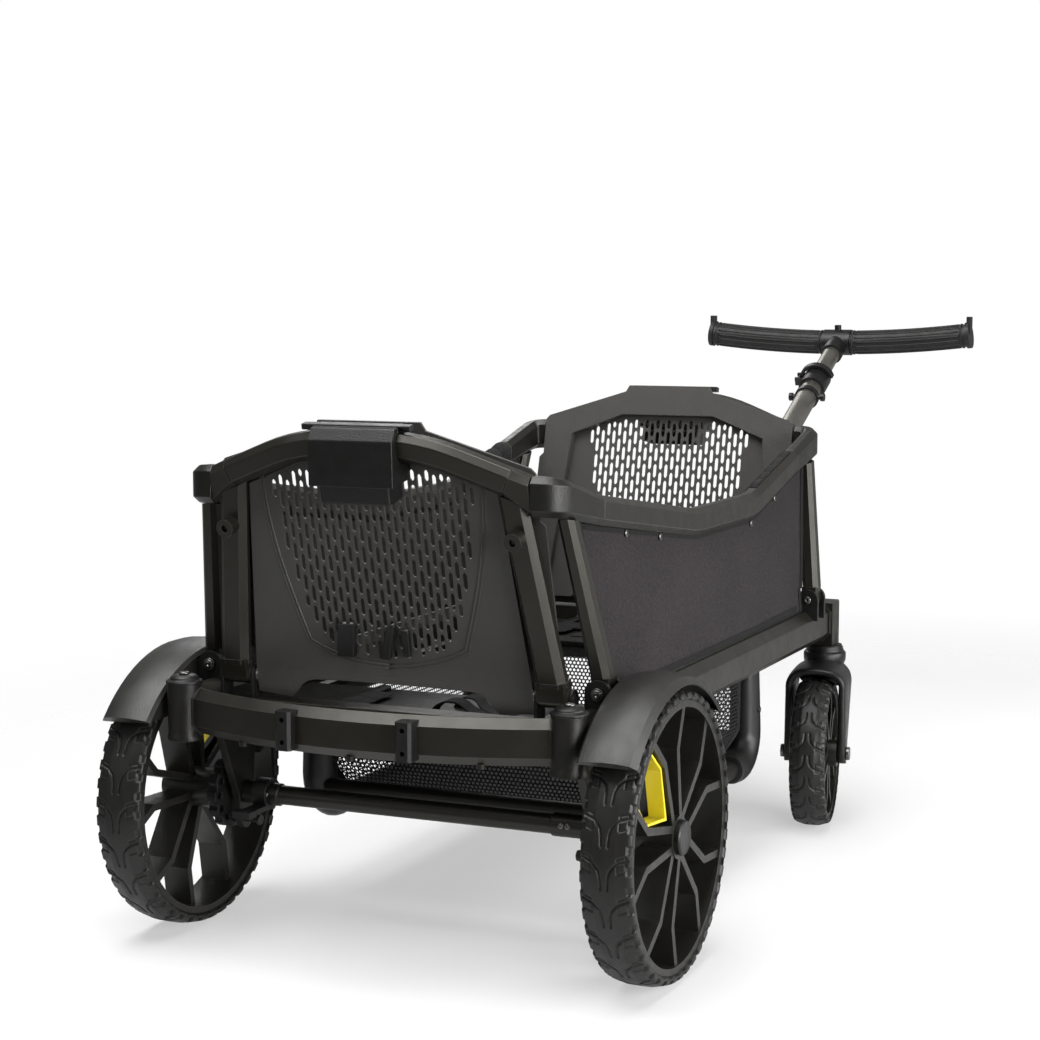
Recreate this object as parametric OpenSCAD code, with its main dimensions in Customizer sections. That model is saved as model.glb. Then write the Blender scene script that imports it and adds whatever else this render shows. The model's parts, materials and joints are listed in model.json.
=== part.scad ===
// Folding stroller wagon: a rail frame on two large rear wheels and two casters,
// grille end walls that fold inward, cloth side walls, a mesh footwell and a telescopic pull handle.
// +X is the wagon's right, +Y is forward to the handle, +Z is up.
// Shapes are laid out with Y from the rear axle, and stand() moves them to the middle of the wagon.

/* [Rear wheels] */
// Outside diameter of the rear tyres
rear_d = 316; // [280:1:340]
// Width of the rear tyres
rear_tyre_w = 57; // [45:1:64]
// Distance that the middles of the rear tyres stand further apart than the base's outer faces
track_over = 87; // [83:1:128]
// Radial thickness of the rear tyres
rear_tyre_t = 13; // [9:0.5:18]
// Radial thickness of the rear rims
rear_rim_t = 7; // [5:0.5:10]
// Thickness of a spoke blade
spoke_t = 8; // [5:0.5:10]
// Depth of the spokes along the axle
spoke_depth = 34; // [20:1:40]
// Number of petals, each a pair of spokes
petals = 5; // [4:1:7]
// Turn of the right wheel's first petal from straight ahead
petal_turn = 68; // [0:1:71]
// Further turn of the left wheel in the resting pose
left_turn = 283; // [0:1:359]
// Diameter of the rear hubs
rear_hub_d = 46; // [38:1:60]
// Diameter of the axle tube
axle_d = 22; // [18:0.5:26]
// Diameter of the spindles that the rear hubs turn on
spindle_d = 14; // [10:0.5:17]
// Diameter of the brake rings
brake_ring_d = 84; // [76:1:96]
// Number of stop holes in a brake ring
brake_holes = 12; // [8:1:14]

/* [Casters] */
// Outside diameter of the front tyres
front_d = 200; // [180:1:204]
// Width of the front tyres
front_tyre_w = 48; // [38:1:50]
// Distance that a front wheel trails behind its swivel
caster_trail = 92; // [70:1:96]
// Swing of both casters in the resting pose
caster_turn = 9; // [0:1:20]
// Thickness of a fork leg
fork_leg_t = 12; // [9:0.5:14]
// Diameter of the swivel stem
stem_d = 16; // [12:0.5:20]
// Diameter of the front wheel bolts
caster_bolt_d = 10; // [8:0.5:12]

/* [Base frame] */
// Distance from the rear corner posts to the front corner posts
base_len = 930; // [860:1:1000]
// Distance that the rear corner posts stand behind the rear axle
rear_overhang = 104; // [95:1:120]
// Width over the outer faces of the base rails
base_w = 492; // [470:1:492]
// Height of the middle of the base rails above the ground
base_z = 271; // [262:1:290]
// Height of a base rail
rail_h = 50; // [42:1:56]
// Width of a base rail
rail_w = 32; // [28:1:36]
// Chamfer of the base rails and the bumper
rail_c = 11; // [6:0.5:12]
// Diameter of the corner posts
corner_d = 38; // [34:1:44]
// Distance that the bumper bows out behind the corner posts
bumper_bow = 55; // [40:1:70]
// Thickness of the bumper
bumper_t = 22; // [20:1:28]
// Distance between the bumper brackets
bracket_pitch = 142; // [110:1:180]
// Distance between the two holes of a bumper bracket
bracket_hole_pitch = 24; // [18:0.5:26]
// Diameter of the bracket holes
bracket_hole_d = 5.5; // [4:0.1:7]

/* [Walls] */
// Lean of the end walls from upright
wall_lean = 12; // [6:0.5:15]
// Height of an end wall along its slope, to the top of its rail
wall_h = 295; // [270:1:320]
// Distance of an end wall's top corners inside the base's outer faces
wall_inset = 57.7; // [56:0.1:66]
// Slope of the shoulders of the end walls
shoulder_slope = 22; // [14:0.5:26]
// Half the length of the level middle of an end wall's top rail
shoulder_start = 70; // [60:1:90]
// Distance of the feet of an end wall's posts inside the base's outer faces
post_inset = 54; // [53:0.5:60]
// Width of an end wall's posts
post_w = 34; // [28:0.5:35]
// Depth of an end wall's posts
post_t = 22; // [18:0.5:24]
// Height of the end walls' top rails
top_rail_h = 31; // [26:0.5:36]
// Depth of the end walls' top rails
top_rail_t = 24; // [20:0.5:28]
// Thickness of the end panels
panel_t = 3; // [2:0.5:5]
// Width of a grille slot
slot_w = 5.5; // [4:0.1:6]
// Length of a grille slot
slot_l = 19.5; // [12:0.5:20]
// Distance from one column of slots to the next
slot_pitch_x = 8.4; // [8:0.1:12]
// Distance from one slot to the next along a column
slot_pitch_y = 23.7; // [23:0.1:30]
// Height of the side rails' lowest stretch above the ground, at its top
side_low = 474.5; // [455:0.5:490]
// Height of the side rails' ends above the ground, at the top
side_high = 517.5; // [500:0.5:525]
// Length of the side rails' level stretch
side_level = 222; // [180:1:320]
// Distance of that stretch ahead of the middle of the tub
side_shift = 65; // [0:1:80]
// Height of the side rails
side_rail_h = 33; // [28:0.5:36]
// Depth of the side rails
side_rail_t = 24; // [20:0.5:28]
// Thickness of the cloth side walls
cloth_t = 3; // [2:0.5:5]

/* [Footwell] */
// Distance of the footwell's corner tubes from the corner posts
footwell_inset = 240; // [215:1:275]
// Distance of the footwell's side tubes inside the base's outer faces
footwell_side = 51; // [50:0.5:66]
// Height of the middle of the footwell's lowest tubes
footwell_z = 114; // [100:1:130]
// Diameter of the footwell tubes
footwell_tube_d = 25; // [20:0.5:28]
// Diameter of the footwell's corner castings
elbow_d = 34; // [31:0.5:36]
// Thickness of the footwell's cloth
bag_t = 3; // [2:0.5:5]

/* [Fenders] */
// Distance of a fender's crease outside the rear tyre
fender_gap = 12; // [10:0.5:22]
// Further reach of the crease at the fender's tail
fender_flare = 7; // [4:0.5:12]
// Angle of the fender's tail, from straight ahead
fender_tail = 144; // [130:1:150]
// Angle of the fender's nose, from straight ahead
fender_nose = 43; // [35:1:58]

/* [Handle] */
// Height of the handle's pivot above the ground
pivot_z = 266; // [258:1:280]
// Distance of the handle's pivot ahead of the front corner posts
pivot_reach = 79; // [70:1:95]
// Angle of the handle above level in the resting pose
handle_angle = 25; // [0:0.1:60]
// Distance from the pivot to the middle of the crossbar
handle_len = 886; // [820:1:940]
// Distance from the outer handle tube's end to the middle of the crossbar
handle_show = 144; // [126:1:186]
// Diameter of the outer handle tube
handle_tube_d = 36; // [33:0.5:40]
// Diameter of the sliding handle tube
upper_tube_d = 30; // [26:0.5:31]
// Distance between the outer ends of the grips
bar_w = 480; // [400:1:540]
// Rise of the crossbar's ends above its middle
bar_rise = 15; // [5:1:25]
// Diameter of the crossbar
bar_d = 27; // [22:0.5:30]
// Diameter of the grips
grip_d = 40; // [34:0.5:44]

/* [Hidden] */
$fn = 48;

// Clearances
tube_wall = 2;
seat = 0.2;
run = 0.05;
snug = 0.02;
loose = 0.4;

// Colours
frame_grey = [0.20, 0.20, 0.19];
black = [0.09, 0.09, 0.09];
charcoal = [0.26, 0.26, 0.27];
cloth_grey = [0.28, 0.28, 0.30];
rubber = [0.13, 0.13, 0.13];
accent_yellow = [0.98, 0.82, 0.10];
steel = [0.55, 0.55, 0.55];

// Main stations, with Y from the rear axle
rear_r = rear_d / 2;
front_r = front_d / 2;
rear_corner_y = -rear_overhang;
front_corner_y = rear_corner_y + base_len;
tub_mid = (rear_corner_y + front_corner_y) / 2;
corner_x = base_w / 2 - rail_w / 2 + 1;
rail_x = base_w / 2 - rail_w / 2;
rail_inner = base_w / 2 - rail_w;
rail_top = base_z + rail_h / 2;
rail_bottom = base_z - rail_h / 2;
corner_bottom = rail_bottom - 8;
corner_top = rail_top + 5;
corner_stub = 26;
pivot_y = front_corner_y + pivot_reach;
handle_tube_len = handle_len - handle_show;

// Overall reach, which sets the middle of the wagon
bracket_proud = 9;
rear_reach = rear_overhang + bumper_bow + bracket_proud;
bar_y = pivot_y + handle_len * cos(handle_angle);
front_reach = bar_y + grip_d / 2 + 3;
mid_y = (front_reach - rear_reach) / 2;

// Bumper arc
bumper_half = corner_x - corner_d / 2 + 1;
bumper_r = (bumper_half * bumper_half + pow(bumper_bow - 10, 2)) / (2 * (bumper_bow - 10));
bumper_face_y = rear_corner_y - bumper_bow;
bumper_centre_y = bumper_face_y + bumper_r;
bumper_span = asin(bumper_half / bumper_r);
bracket_w = 19;
bracket_h = rail_h - 8;

// End wall stations along its own slope
wall_half = base_w / 2 - wall_inset;
post_pitch = base_w - 2 * post_inset;
cross_t = 30;
cross_top = rail_top - 16;
deck_t = 6;
deck_rib_h = 14;
deck_top = rail_top - 36;
deck_low = deck_top - deck_t;
platform_h = 1.5;
hinge_z = rail_top + 10;
wall_foot_y = rear_corner_y + 42;
wall_foot_z = rail_top + 4;
hinge_w = -16;
hinge_v = (hinge_z - wall_foot_z + hinge_w * sin(wall_lean)) / cos(wall_lean);
hinge_y = wall_foot_y - hinge_v * sin(wall_lean) - hinge_w * cos(wall_lean);
hinge_pin_d = 10;
hinge_eye_r = 11;
panel_w = -post_t - panel_t;
panel_foot = hinge_v - 15;
rail_mid_v = wall_h - top_rail_h / 2;
shoulder_end_v = rail_mid_v - (wall_half - shoulder_start) * tan(shoulder_slope);
rail_joint = wall_half - 24;
rail_bow = 13;
post_lean = 6.7;
boss_d = 20;
boss_v = hinge_v + 180;

// Side wall stations
side_x = rail_x - 17;
side_half = tub_mid - 7;
side_start = tub_mid - side_half - seat;
cast_z = hinge_z + 217.5;
cast_h = 42;
cast_y = wall_foot_y - (cast_z - wall_foot_z) * tan(wall_lean) + 10;
lug_x = rail_x + 6.6;
lug_z = rail_top + 16;
lug_r = 15;
lug_ear_t = 6;
lug_gap = 26;
lug_y = rear_corner_y + 62;
foot_d = 20;
lug_bolt_d = 8;

// Rear wheel stations
wheel_x = (base_w + track_over) / 2;
fender_r = rear_r + fender_gap;
rim_r = rear_r - rear_tyre_t;
rim_inner_r = rim_r - rear_rim_t;
hub_inner_x = wheel_x - rear_tyre_w / 2 - 17;
hub_outer_x = wheel_x + rear_tyre_w / 2 + 2;
brake_ring_t = 12;
brake_ring_x = hub_inner_x - brake_ring_t;
stop_r = brake_ring_d / 2 - 10;
stop_hole_d = 9;
brake_pin_d = 7;
brake_travel = 8;
hanger_t = 9;
hanger_x = brake_ring_x - 12;
sleeve_d = axle_d + 4;
sleeve_end = hanger_x - hanger_t / 2;
sleeve_len = 46;

// Caster stations
swivel_x = corner_x + 2;
swivel_y = front_corner_y + 4;
crown_z = front_d + 5;
crown_t = 15;
boot_top = corner_bottom - seat;
leg_in = front_tyre_w / 2 + 6.5;
leg_out = leg_in + fork_leg_t;

// Footwell stations
footwell_rear = rear_corner_y + footwell_inset;
footwell_front = front_corner_y - footwell_inset;
footwell_len = footwell_front - footwell_rear;
footwell_x = base_w / 2 - footwell_side;
elbow_r = 38;
elbow_run = 62;

// Small helpers for lofted shapes
function unit(v) = v / norm(v);
function octagon(w, h, c) = [
    [w / 2, c - h / 2], [w / 2, h / 2 - c], [w / 2 - c, h / 2], [c - w / 2, h / 2],
    [-w / 2, h / 2 - c], [-w / 2, c - h / 2], [c - w / 2, -h / 2], [w / 2 - c, -h / 2]
];
// A path with its inner corners rounded off, each over the given reach
function softened(path, reach, steps) = concat(
    [path[0]],
    [for (i = [1 : len(path) - 2])
        let (v = path[i], a = v + reach * unit(path[i - 1] - v), b = v + reach * unit(path[i + 1] - v))
        for (k = [0 : steps])
            let (t = k / steps) (1 - t) * (1 - t) * a + 2 * t * (1 - t) * v + t * t * b],
    [path[len(path) - 1]]
);
function reversed(list) = [for (i = [len(list) - 1 : -1 : 0]) list[i]];
// A half outline with its mirror image joined on
function both_halves(half) = concat(half, [for (p = reversed(half)) [-p[0], p[1]]]);
function heading(path, i) = unit(path[min(i + 1, len(path) - 1)] - path[max(i - 1, 0)]);

// A solid through a row of rings, all with the same number of points
module loft(rings) {
    n = len(rings[0]);
    last = len(rings) - 1;
    sides = [for (i = [0 : last - 1], j = [0 : n - 1])
        let (a = i * n + j, b = i * n + (j + 1) % n) each [[a, b, b + n], [a, b + n, a + n]]];
    first_cap = [for (j = [n - 1 : -1 : 0]) j];
    last_cap = [for (j = [0 : n - 1]) last * n + j];
    polyhedron([for (r = rings) each r], concat(sides, [first_cap, last_cap]));
}

// Placement
module stand() {
    translate([0, -mid_y, 0])
        children();
}
module in_place(shade) {
    color(shade)
        stand()
            children();
}
module both_sides() {
    children();
    mirror([1, 0, 0])
        children();
}
module front_end() {
    translate([0, 2 * tub_mid, 0])
        mirror([0, 1, 0])
            children();
}
module both_ends() {
    children();
    front_end()
        children();
}
// The slope of the rear end wall: X across, Y up the wall, Z out of the wall
module on_wall() {
    translate([0, wall_foot_y, wall_foot_z])
        rotate([90 + wall_lean, 0, 0])
            children();
}
// The handle's own frame: Y along the handle from its pivot
module on_handle() {
    translate([0, pivot_y, pivot_z])
        rotate([handle_angle, 0, 0])
            children();
}
module along_y(y) {
    translate([0, y, 0])
        rotate([-90, 0, 0])
            children();
}
module along_x(x) {
    translate([x, 0, 0])
        rotate([0, 90, 0])
            children();
}

// Base frame
module rail_bar(length, w = rail_w, h = rail_h, c = rail_c) {
    rotate([90, 0, 0])
        translate([0, 0, -length])
            linear_extrude(length)
                polygon(octagon(w, h, c));
}
// An eight-sided tube section with an even wall
module octagon_tube(w, h, c) {
    difference() {
        polygon(octagon(w, h, c));
        polygon(octagon(w - 2 * tube_wall, h - 2 * tube_wall, c - tube_wall * (2 - sqrt(2))));
    }
}
module bumper_sweep(from, to) {
    translate([0, bumper_centre_y, base_z])
        rotate([0, 0, -90 + from])
            rotate_extrude(angle = to - from, $fn = 180)
                translate([bumper_r - bumper_t / 2, 0])
                    children();
}
module bumper_arc(from, to, t, h, c) {
    bumper_sweep(from, to)
        polygon(octagon(t, h, c));
}

module base_rails() {
    in_place(frame_grey)
        both_sides()
            translate([rail_x, rear_corner_y + corner_stub, base_z])
                rotate([90, 0, 0])
                    translate([0, 0, 2 * corner_stub - base_len])
                        linear_extrude(base_len - 2 * corner_stub)
                            octagon_tube(rail_w, rail_h, rail_c);
}

module corner_post() {
    r = corner_d / 2;
    h = corner_top - corner_bottom;
    translate([corner_x, rear_corner_y, corner_bottom])
        rotate_extrude()
            polygon([[0, 0], [r + 1.5, 0], [r + 1.5, 4], [r, 9], [r, h], [0, h]]);
    translate([rail_x, rear_corner_y + 4, base_z])
        rail_bar(corner_stub - 4, rail_w + 4, rail_h + 4, rail_c + 1);
}

module rear_corners() {
    in_place(charcoal)
        both_sides() {
            corner_post();
            bumper_arc(bumper_span, bumper_span + 2.2, bumper_t + 4, rail_h + 4, rail_c + 1);
        }
}

module corner_caps() {
    cap_r = corner_d / 2 + 1.5;
    in_place(black)
        both_sides()
            translate([corner_x, rear_corner_y, corner_top])
                rotate_extrude()
                    polygon([[0, 0], [cap_r, 0], [cap_r, 3], [cap_r - 4, 4.5], [cap_r - 5, 7],
                        [cap_r - 8, 9], [0, 10.5]]);
}

module front_corners() {
    lip = 3;
    half = corner_d / 2;
    in_place(charcoal)
        both_sides()
            difference() {
                union() {
                    front_end()
                        translate([rail_x, rear_corner_y + 4, base_z])
                            rail_bar(corner_stub - 4, rail_w + 4, rail_h + 4, rail_c + 1);
                    translate([corner_x, front_corner_y, corner_bottom])
                        linear_extrude(corner_top - corner_bottom - lip)
                            polygon([[-half, -half], [half, -half], [half, half - 4], [half - 4, half + 6],
                                [-half + 8, half + 6], [-half, half - 2]]);
                    translate([swivel_x, swivel_y, corner_bottom])
                        cylinder(d = corner_d - 2, h = 14);
                }
                translate([swivel_x, swivel_y, corner_bottom - 1])
                    cylinder(d = stem_d + 2 * run, h = corner_top - corner_bottom - 8);
            }
}

module cross_members() {
    front_half = corner_x - corner_d / 2;
    cross_low = rail_bottom + rail_c;
    in_place(frame_grey) {
        both_ends()
            translate([-rail_inner, hinge_y, cross_low])
                difference() {
                    translate([0, -cross_t / 2, 0])
                        cube([2 * rail_inner, cross_t, cross_top - cross_low]);
                    translate([-1, tube_wall - cross_t / 2, tube_wall])
                        cube([2 * rail_inner + 2, cross_t - 2 * tube_wall,
                            cross_top - cross_low - 2 * tube_wall]);
                }
        translate([-front_half, front_corner_y, base_z])
            rotate([90, 0, 90])
                linear_extrude(2 * front_half)
                    octagon_tube(rail_w, rail_h - 6, rail_c);
    }
}

module rear_bumper() {
    stud_d = 9;
    in_place(frame_grey) {
        difference() {
            bumper_sweep(-bumper_span, bumper_span)
                octagon_tube(bumper_t, rail_h, rail_c - 1);
            bracket_bores();
        }
        for (x = [-bracket_pitch, 0, bracket_pitch])
            translate([x, bumper_arc_y(x), rail_bottom - 4])
                cylinder(d = stud_d, h = 5);
    }
}
module bracket_bores() {
    face_y = bumper_face_y - bracket_proud;
    for (x = [-1, 1], z = [-1, 1])
        translate([x * bracket_pitch / 2, 0, base_z + z * bracket_hole_pitch / 2])
            along_y(face_y - 1)
                cylinder(d = bracket_hole_d, h = bracket_proud + 20);
}
function bumper_arc_y(x) = bumper_centre_y - sqrt(pow(bumper_r - bumper_t / 2, 2) - x * x);

module bumper_brackets() {
    face_y = bumper_face_y - bracket_proud;
    chamfer = 3;
    in_place(black)
        both_sides()
            difference() {
                translate([bracket_pitch / 2 - bracket_w / 2, face_y, base_z - bracket_h / 2])
                    linear_extrude(bracket_h)
                        polygon([[chamfer, 0], [bracket_w - chamfer, 0], [bracket_w, chamfer],
                            [bracket_w, 30], [0, 30], [0, chamfer]]);
                bumper_arc(0, bumper_span, bumper_t, rail_h, rail_c - 1);
                translate([0, bumper_centre_y, 0])
                    cylinder(r = bumper_r - bumper_t / 2, h = 2 * base_z, $fn = 180);
                bracket_bores();
            }
}

// Floor and footwell
module floor_decks() {
    side = rail_inner - seat;
    back = hinge_y + cross_t / 2 + seat;
    edge = footwell_rear + elbow_d / 2;
    lip_t = 3;
    platform_w = 128;
    platform_l = 110;
    in_place(charcoal)
        both_ends() {
            translate([-platform_w / 2, 60 - platform_l / 2, deck_low + 1])
                cube([platform_w, platform_l, deck_t + platform_h - 1]);
            translate([-side, back, deck_low])
                cube([2 * side, edge - back, deck_t]);
            for (x = [-0.6, -0.2, 0.2, 0.6])
                translate([x * side - 2, back + 4, deck_low - deck_rib_h])
                    cube([4, edge - back - 5, deck_rib_h + 1]);
            translate([-side + 8, edge - lip_t, deck_low - deck_rib_h])
                cube([2 * side - 16, lip_t, deck_rib_h + 1]);
        }
}

module round_tube(d, length) {
    difference() {
        cylinder(d = d, h = length);
        translate([0, 0, -1])
            cylinder(d = d - 2 * tube_wall, h = length + 2);
    }
}

module footwell_frame() {
    leg_top = deck_low;
    low_bar_z = footwell_z + 26;
    low_bar_half = footwell_x - elbow_d / 2 - seat;
    in_place(black) {
        both_sides() {
            for (y = [footwell_rear, footwell_front])
                translate([footwell_x, y, footwell_z + elbow_run])
                    round_tube(footwell_tube_d, leg_top - footwell_z - elbow_run);
            translate([footwell_x, 0, footwell_z])
                along_y(footwell_rear + elbow_run)
                    round_tube(footwell_tube_d, footwell_len - 2 * elbow_run);
        }
        for (y = [footwell_rear - 8, footwell_front + 8])
            translate([0, y, low_bar_z])
                along_x(-low_bar_half)
                    round_tube(footwell_tube_d - 3, 2 * low_bar_half);
    }
}

module footwell_elbow() {
    translate([0, 0, elbow_r])
        cylinder(d = elbow_d, h = elbow_run - elbow_r);
    translate([0, elbow_r, elbow_r])
        rotate([0, 0, 180])
            rotate([0, -90, 0])
                rotate([0, 0, 90])
                    rotate_extrude(angle = 90)
                        translate([elbow_r, 0])
                            circle(d = elbow_d);
    along_y(elbow_r)
        cylinder(d = elbow_d, h = elbow_run - elbow_r);
}

module footwell_elbows() {
    in_place(charcoal)
        both_sides() {
            translate([footwell_x, footwell_rear, footwell_z])
                footwell_elbow();
            translate([footwell_x, footwell_front, footwell_z])
                mirror([0, 1, 0])
                    footwell_elbow();
        }
}

module footwell_bag() {
    half = footwell_x + bag_t / 2;
    taper = elbow_d / 2 + 5;
    y0 = footwell_rear + elbow_d / 2 + seat;
    y1 = 2 * tub_mid - y0;
    top = deck_top - 1;
    low = footwell_z + 4;
    function ring(inset, z) = [
        [half - inset, y0 + inset, z], [inset - half, y0 + inset, z],
        [inset - half, y1 - inset, z], [half - inset, y1 - inset, z]
    ];
    in_place(cloth_grey)
        difference() {
            loft([ring(taper, low), ring(0, low + 40), ring(0, top)]);
            loft([ring(taper + bag_t, low + bag_t), ring(bag_t, low + 40), ring(bag_t, top + 1)]);
        }
}

// Rear axle, its hangers and the brake
module rear_axle() {
    in_place(black)
        translate([0, 0, rear_r]) {
            along_x(-sleeve_end)
                cylinder(d = axle_d, h = 2 * sleeve_end);
            both_sides() {
                along_x(sleeve_end - 1)
                    cylinder(d = spindle_d, h = hub_outer_x - 6 - sleeve_end);
                along_x(sleeve_end - sleeve_len)
                    cylinder(d = sleeve_d, h = sleeve_len);
            }
        }
}

module axle_hangers() {
    top_y = -58;
    top_w = 78;
    boss_r = sleeve_d / 2 + 4;
    in_place(black)
        both_sides()
            difference() {
                translate([hanger_x - hanger_t / 2, 0, 0])
                    rotate([90, 0, 90])
                        linear_extrude(hanger_t)
                            union() {
                                polygon([[top_y, rail_bottom + rail_c], [top_y, rail_bottom],
                                    [top_y + top_w, rail_bottom], [top_y + top_w, rail_bottom + rail_c]]);
                                polygon([[top_y, rail_bottom], [top_y + top_w, rail_bottom],
                                    [boss_r, rear_r], [boss_r * 0.8, rear_r - stop_r],
                                    [-boss_r * 0.8, rear_r - stop_r], [-boss_r, rear_r]]);
                                translate([0, rear_r])
                                    circle(r = boss_r);
                                translate([0, rear_r - stop_r])
                                    circle(r = brake_pin_d / 2 + 7);
                            }
                translate([rail_x, rear_corner_y, base_z])
                    rail_bar(base_len);
                translate([0, 0, rear_r])
                    along_x(hanger_x - hanger_t)
                        cylinder(d = spindle_d + snug, h = 2 * hanger_t);
                translate([0, 0, rear_r - stop_r])
                    along_x(hanger_x - hanger_t)
                        cylinder(d = brake_pin_d + 2 * run, h = 2 * hanger_t);
            }
}

module brake_pin() {
    tip = brake_ring_x - 1;
    shank = 30;
    head_t = 4;
    in_place(steel)
        translate([0, 0, rear_r - stop_r]) {
            along_x(tip - shank)
                cylinder(d = brake_pin_d, h = shank);
            along_x(tip - shank - head_t)
                cylinder(d = brake_pin_d + 5, h = head_t + 0.5);
        }
}
module brake_pin_right() {
    brake_pin();
}
module brake_pin_left() {
    mirror([1, 0, 0])
        brake_pin();
}

module brake_pedal() {
    clip_w = 18;
    clip_x = -(sleeve_end - sleeve_len + 12 + clip_w);
    in_place(black)
        translate([clip_x, 0, rear_r])
            difference() {
                union() {
                    along_x(0)
                        cylinder(d = sleeve_d + 10, h = clip_w);
                    translate([0, -46, -sleeve_d / 2 - 4])
                        cube([clip_w, 46, 6]);
                    translate([-3, -56, -sleeve_d / 2 - 5])
                        cube([clip_w + 6, 16, 8]);
                }
                along_x(-1)
                    cylinder(d = sleeve_d + 2 * run, h = clip_w + 2);
            }
}

// Fenders: a crowned arch over each tyre, with a side plate towards the base rail
fender_steps = 20;
// Their section, as distances across the wheel and out from the crease
fender_outer = [[28.5, -8], [22.5, 0], [10, 3.5], [-6.5, 4.5], [-22, 3], [-33, 0], [-36.5, -4]];
fender_inner = [[25.8, -9.2], [21, -3], [9.5, 0.6], [-6.5, 1.6], [-21.5, 0.2], [-32, -2.6], [-33.6, -5.2]];
function fender_angle(i) = fender_tail - (fender_tail - fender_nose) * i / fender_steps;
function fender_at(a, rise) =
    let (r = fender_r + fender_flare * pow((a - 90) / (fender_tail - 90), 2) + rise)
    [r * cos(a), rear_r + r * sin(a)];
function fender_ring(a) = [for (q = concat(fender_outer, reversed(fender_inner)))
    let (p = fender_at(a, q[1])) [wheel_x + q[0], p[0], p[1]]];

module fenders() {
    plate_x = wheel_x + fender_outer[6][0] + 0.5;
    plate_t = 2.2;
    plate_low = base_z - 10;
    plate_end = 60;
    pad_l = 22;
    pad_h = 20;
    edge = [for (i = [0 : fender_steps])
        if (fender_angle(i) > plate_end) fender_at(min(fender_angle(i), fender_tail - 0.6), -3.9)];
    in_place(charcoal)
        both_sides() {
            loft([for (i = [0 : fender_steps]) fender_ring(fender_angle(i))]);
            translate([plate_x, 0, 0])
                rotate([90, 0, 90])
                    linear_extrude(plate_t)
                        polygon(concat(edge, [[edge[len(edge) - 1][0] + 10, plate_low]]));
            for (y = [-74, 40])
                translate([base_w / 2, y, plate_low + 1])
                    cube([plate_x + 1 - base_w / 2, pad_l, pad_h]);
        }
}

// Hinges of the walls
module hinge_lugs() {
    ear_t = 3.8;
    ear_out = post_pitch / 2 + post_w / 2 + loose;
    ear_in = post_pitch / 2 - post_w / 2 - loose - ear_t;
    in_place(black)
        both_ends()
            both_sides() {
                difference() {
                    union()
                        for (y = [lug_y, lug_y + lug_ear_t + lug_gap])
                            translate([lug_x, y, 0])
                                rotate([90, 0, 0])
                                    translate([0, 0, -lug_ear_t])
                                        linear_extrude(lug_ear_t)
                                            union() {
                                                translate([0, lug_z])
                                                    circle(r = lug_r);
                                                translate([-lug_r, rail_top - 12])
                                                    square([2 * lug_r, lug_z - rail_top + 12]);
                                            }
                    translate([rail_x, rear_corner_y, base_z])
                        rail_bar(base_len);
                    translate([lug_x, 0, lug_z])
                        along_y(lug_y - 1)
                            cylinder(d = lug_bolt_d + snug, h = 2 * lug_ear_t + lug_gap + 2);
                }
                for (x = [ear_in, ear_out])
                    difference() {
                        union() {
                            translate([0, hinge_y, hinge_z])
                                along_x(x)
                                    cylinder(r = hinge_eye_r, h = ear_t);
                            translate([x, hinge_y - hinge_eye_r, cross_top])
                                cube([ear_t, 2 * hinge_eye_r, hinge_z - cross_top]);
                        }
                        translate([0, hinge_y, hinge_z])
                            along_x(x - 1)
                                cylinder(d = hinge_pin_d + snug, h = ear_t + 2);
                    }
            }
}

module pivot_bolts() {
    ear_out = post_pitch / 2 + post_w / 2 + loose + 3.8;
    ear_in = post_pitch / 2 - post_w / 2 - loose - 3.8;
    head_t = 3;
    in_place(steel) {
        both_ends()
            both_sides() {
                translate([lug_x, 0, lug_z]) {
                    along_y(lug_y)
                        cylinder(d = lug_bolt_d, h = 2 * lug_ear_t + lug_gap);
                    along_y(lug_y - head_t)
                        cylinder(d = lug_bolt_d + 6, h = head_t);
                }
                translate([0, hinge_y, hinge_z]) {
                    along_x(ear_in)
                        cylinder(d = hinge_pin_d, h = ear_out - ear_in);
                    along_x(ear_in - head_t)
                        cylinder(d = hinge_pin_d + 5, h = head_t);
                }
            }
        translate([0, pivot_y, pivot_z]) {
            along_x(-yoke_half)
                cylinder(d = handle_pin_d, h = 2 * yoke_half);
            both_sides()
                along_x(yoke_half)
                    cylinder(d = handle_pin_d + 8, h = head_t);
        }
    }
}

// Handle
handle_pin_d = 12;
yoke_in = handle_tube_d / 2 + 4;
yoke_t = 6;
yoke_half = yoke_in + yoke_t;
collar_len = 46;
collar_d = handle_tube_d + 10;
tube_bore = upper_tube_d + 2 * run;

module handle_yoke() {
    back_y = front_corner_y + rail_w / 2;
    ear_r = 20;
    plate_h = rail_h - 8 - 2 * rail_c;
    in_place(black)
        difference() {
            union() {
                both_sides()
                    translate([yoke_in, 0, 0])
                        rotate([90, 0, 90])
                            linear_extrude(yoke_t)
                                union() {
                                    polygon([[back_y, base_z - plate_h / 2], [pivot_y, pivot_z - ear_r],
                                        [pivot_y, pivot_z + ear_r], [back_y, base_z + plate_h / 2]]);
                                    translate([pivot_y, pivot_z])
                                        circle(r = ear_r);
                                }
                translate([-yoke_half, back_y, base_z - plate_h / 2])
                    cube([2 * yoke_half, 8, plate_h]);
            }
            translate([0, pivot_y, pivot_z])
                along_x(-yoke_half - 1)
                    cylinder(d = handle_pin_d + snug, h = 2 * yoke_half + 2);
        }
}

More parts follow.
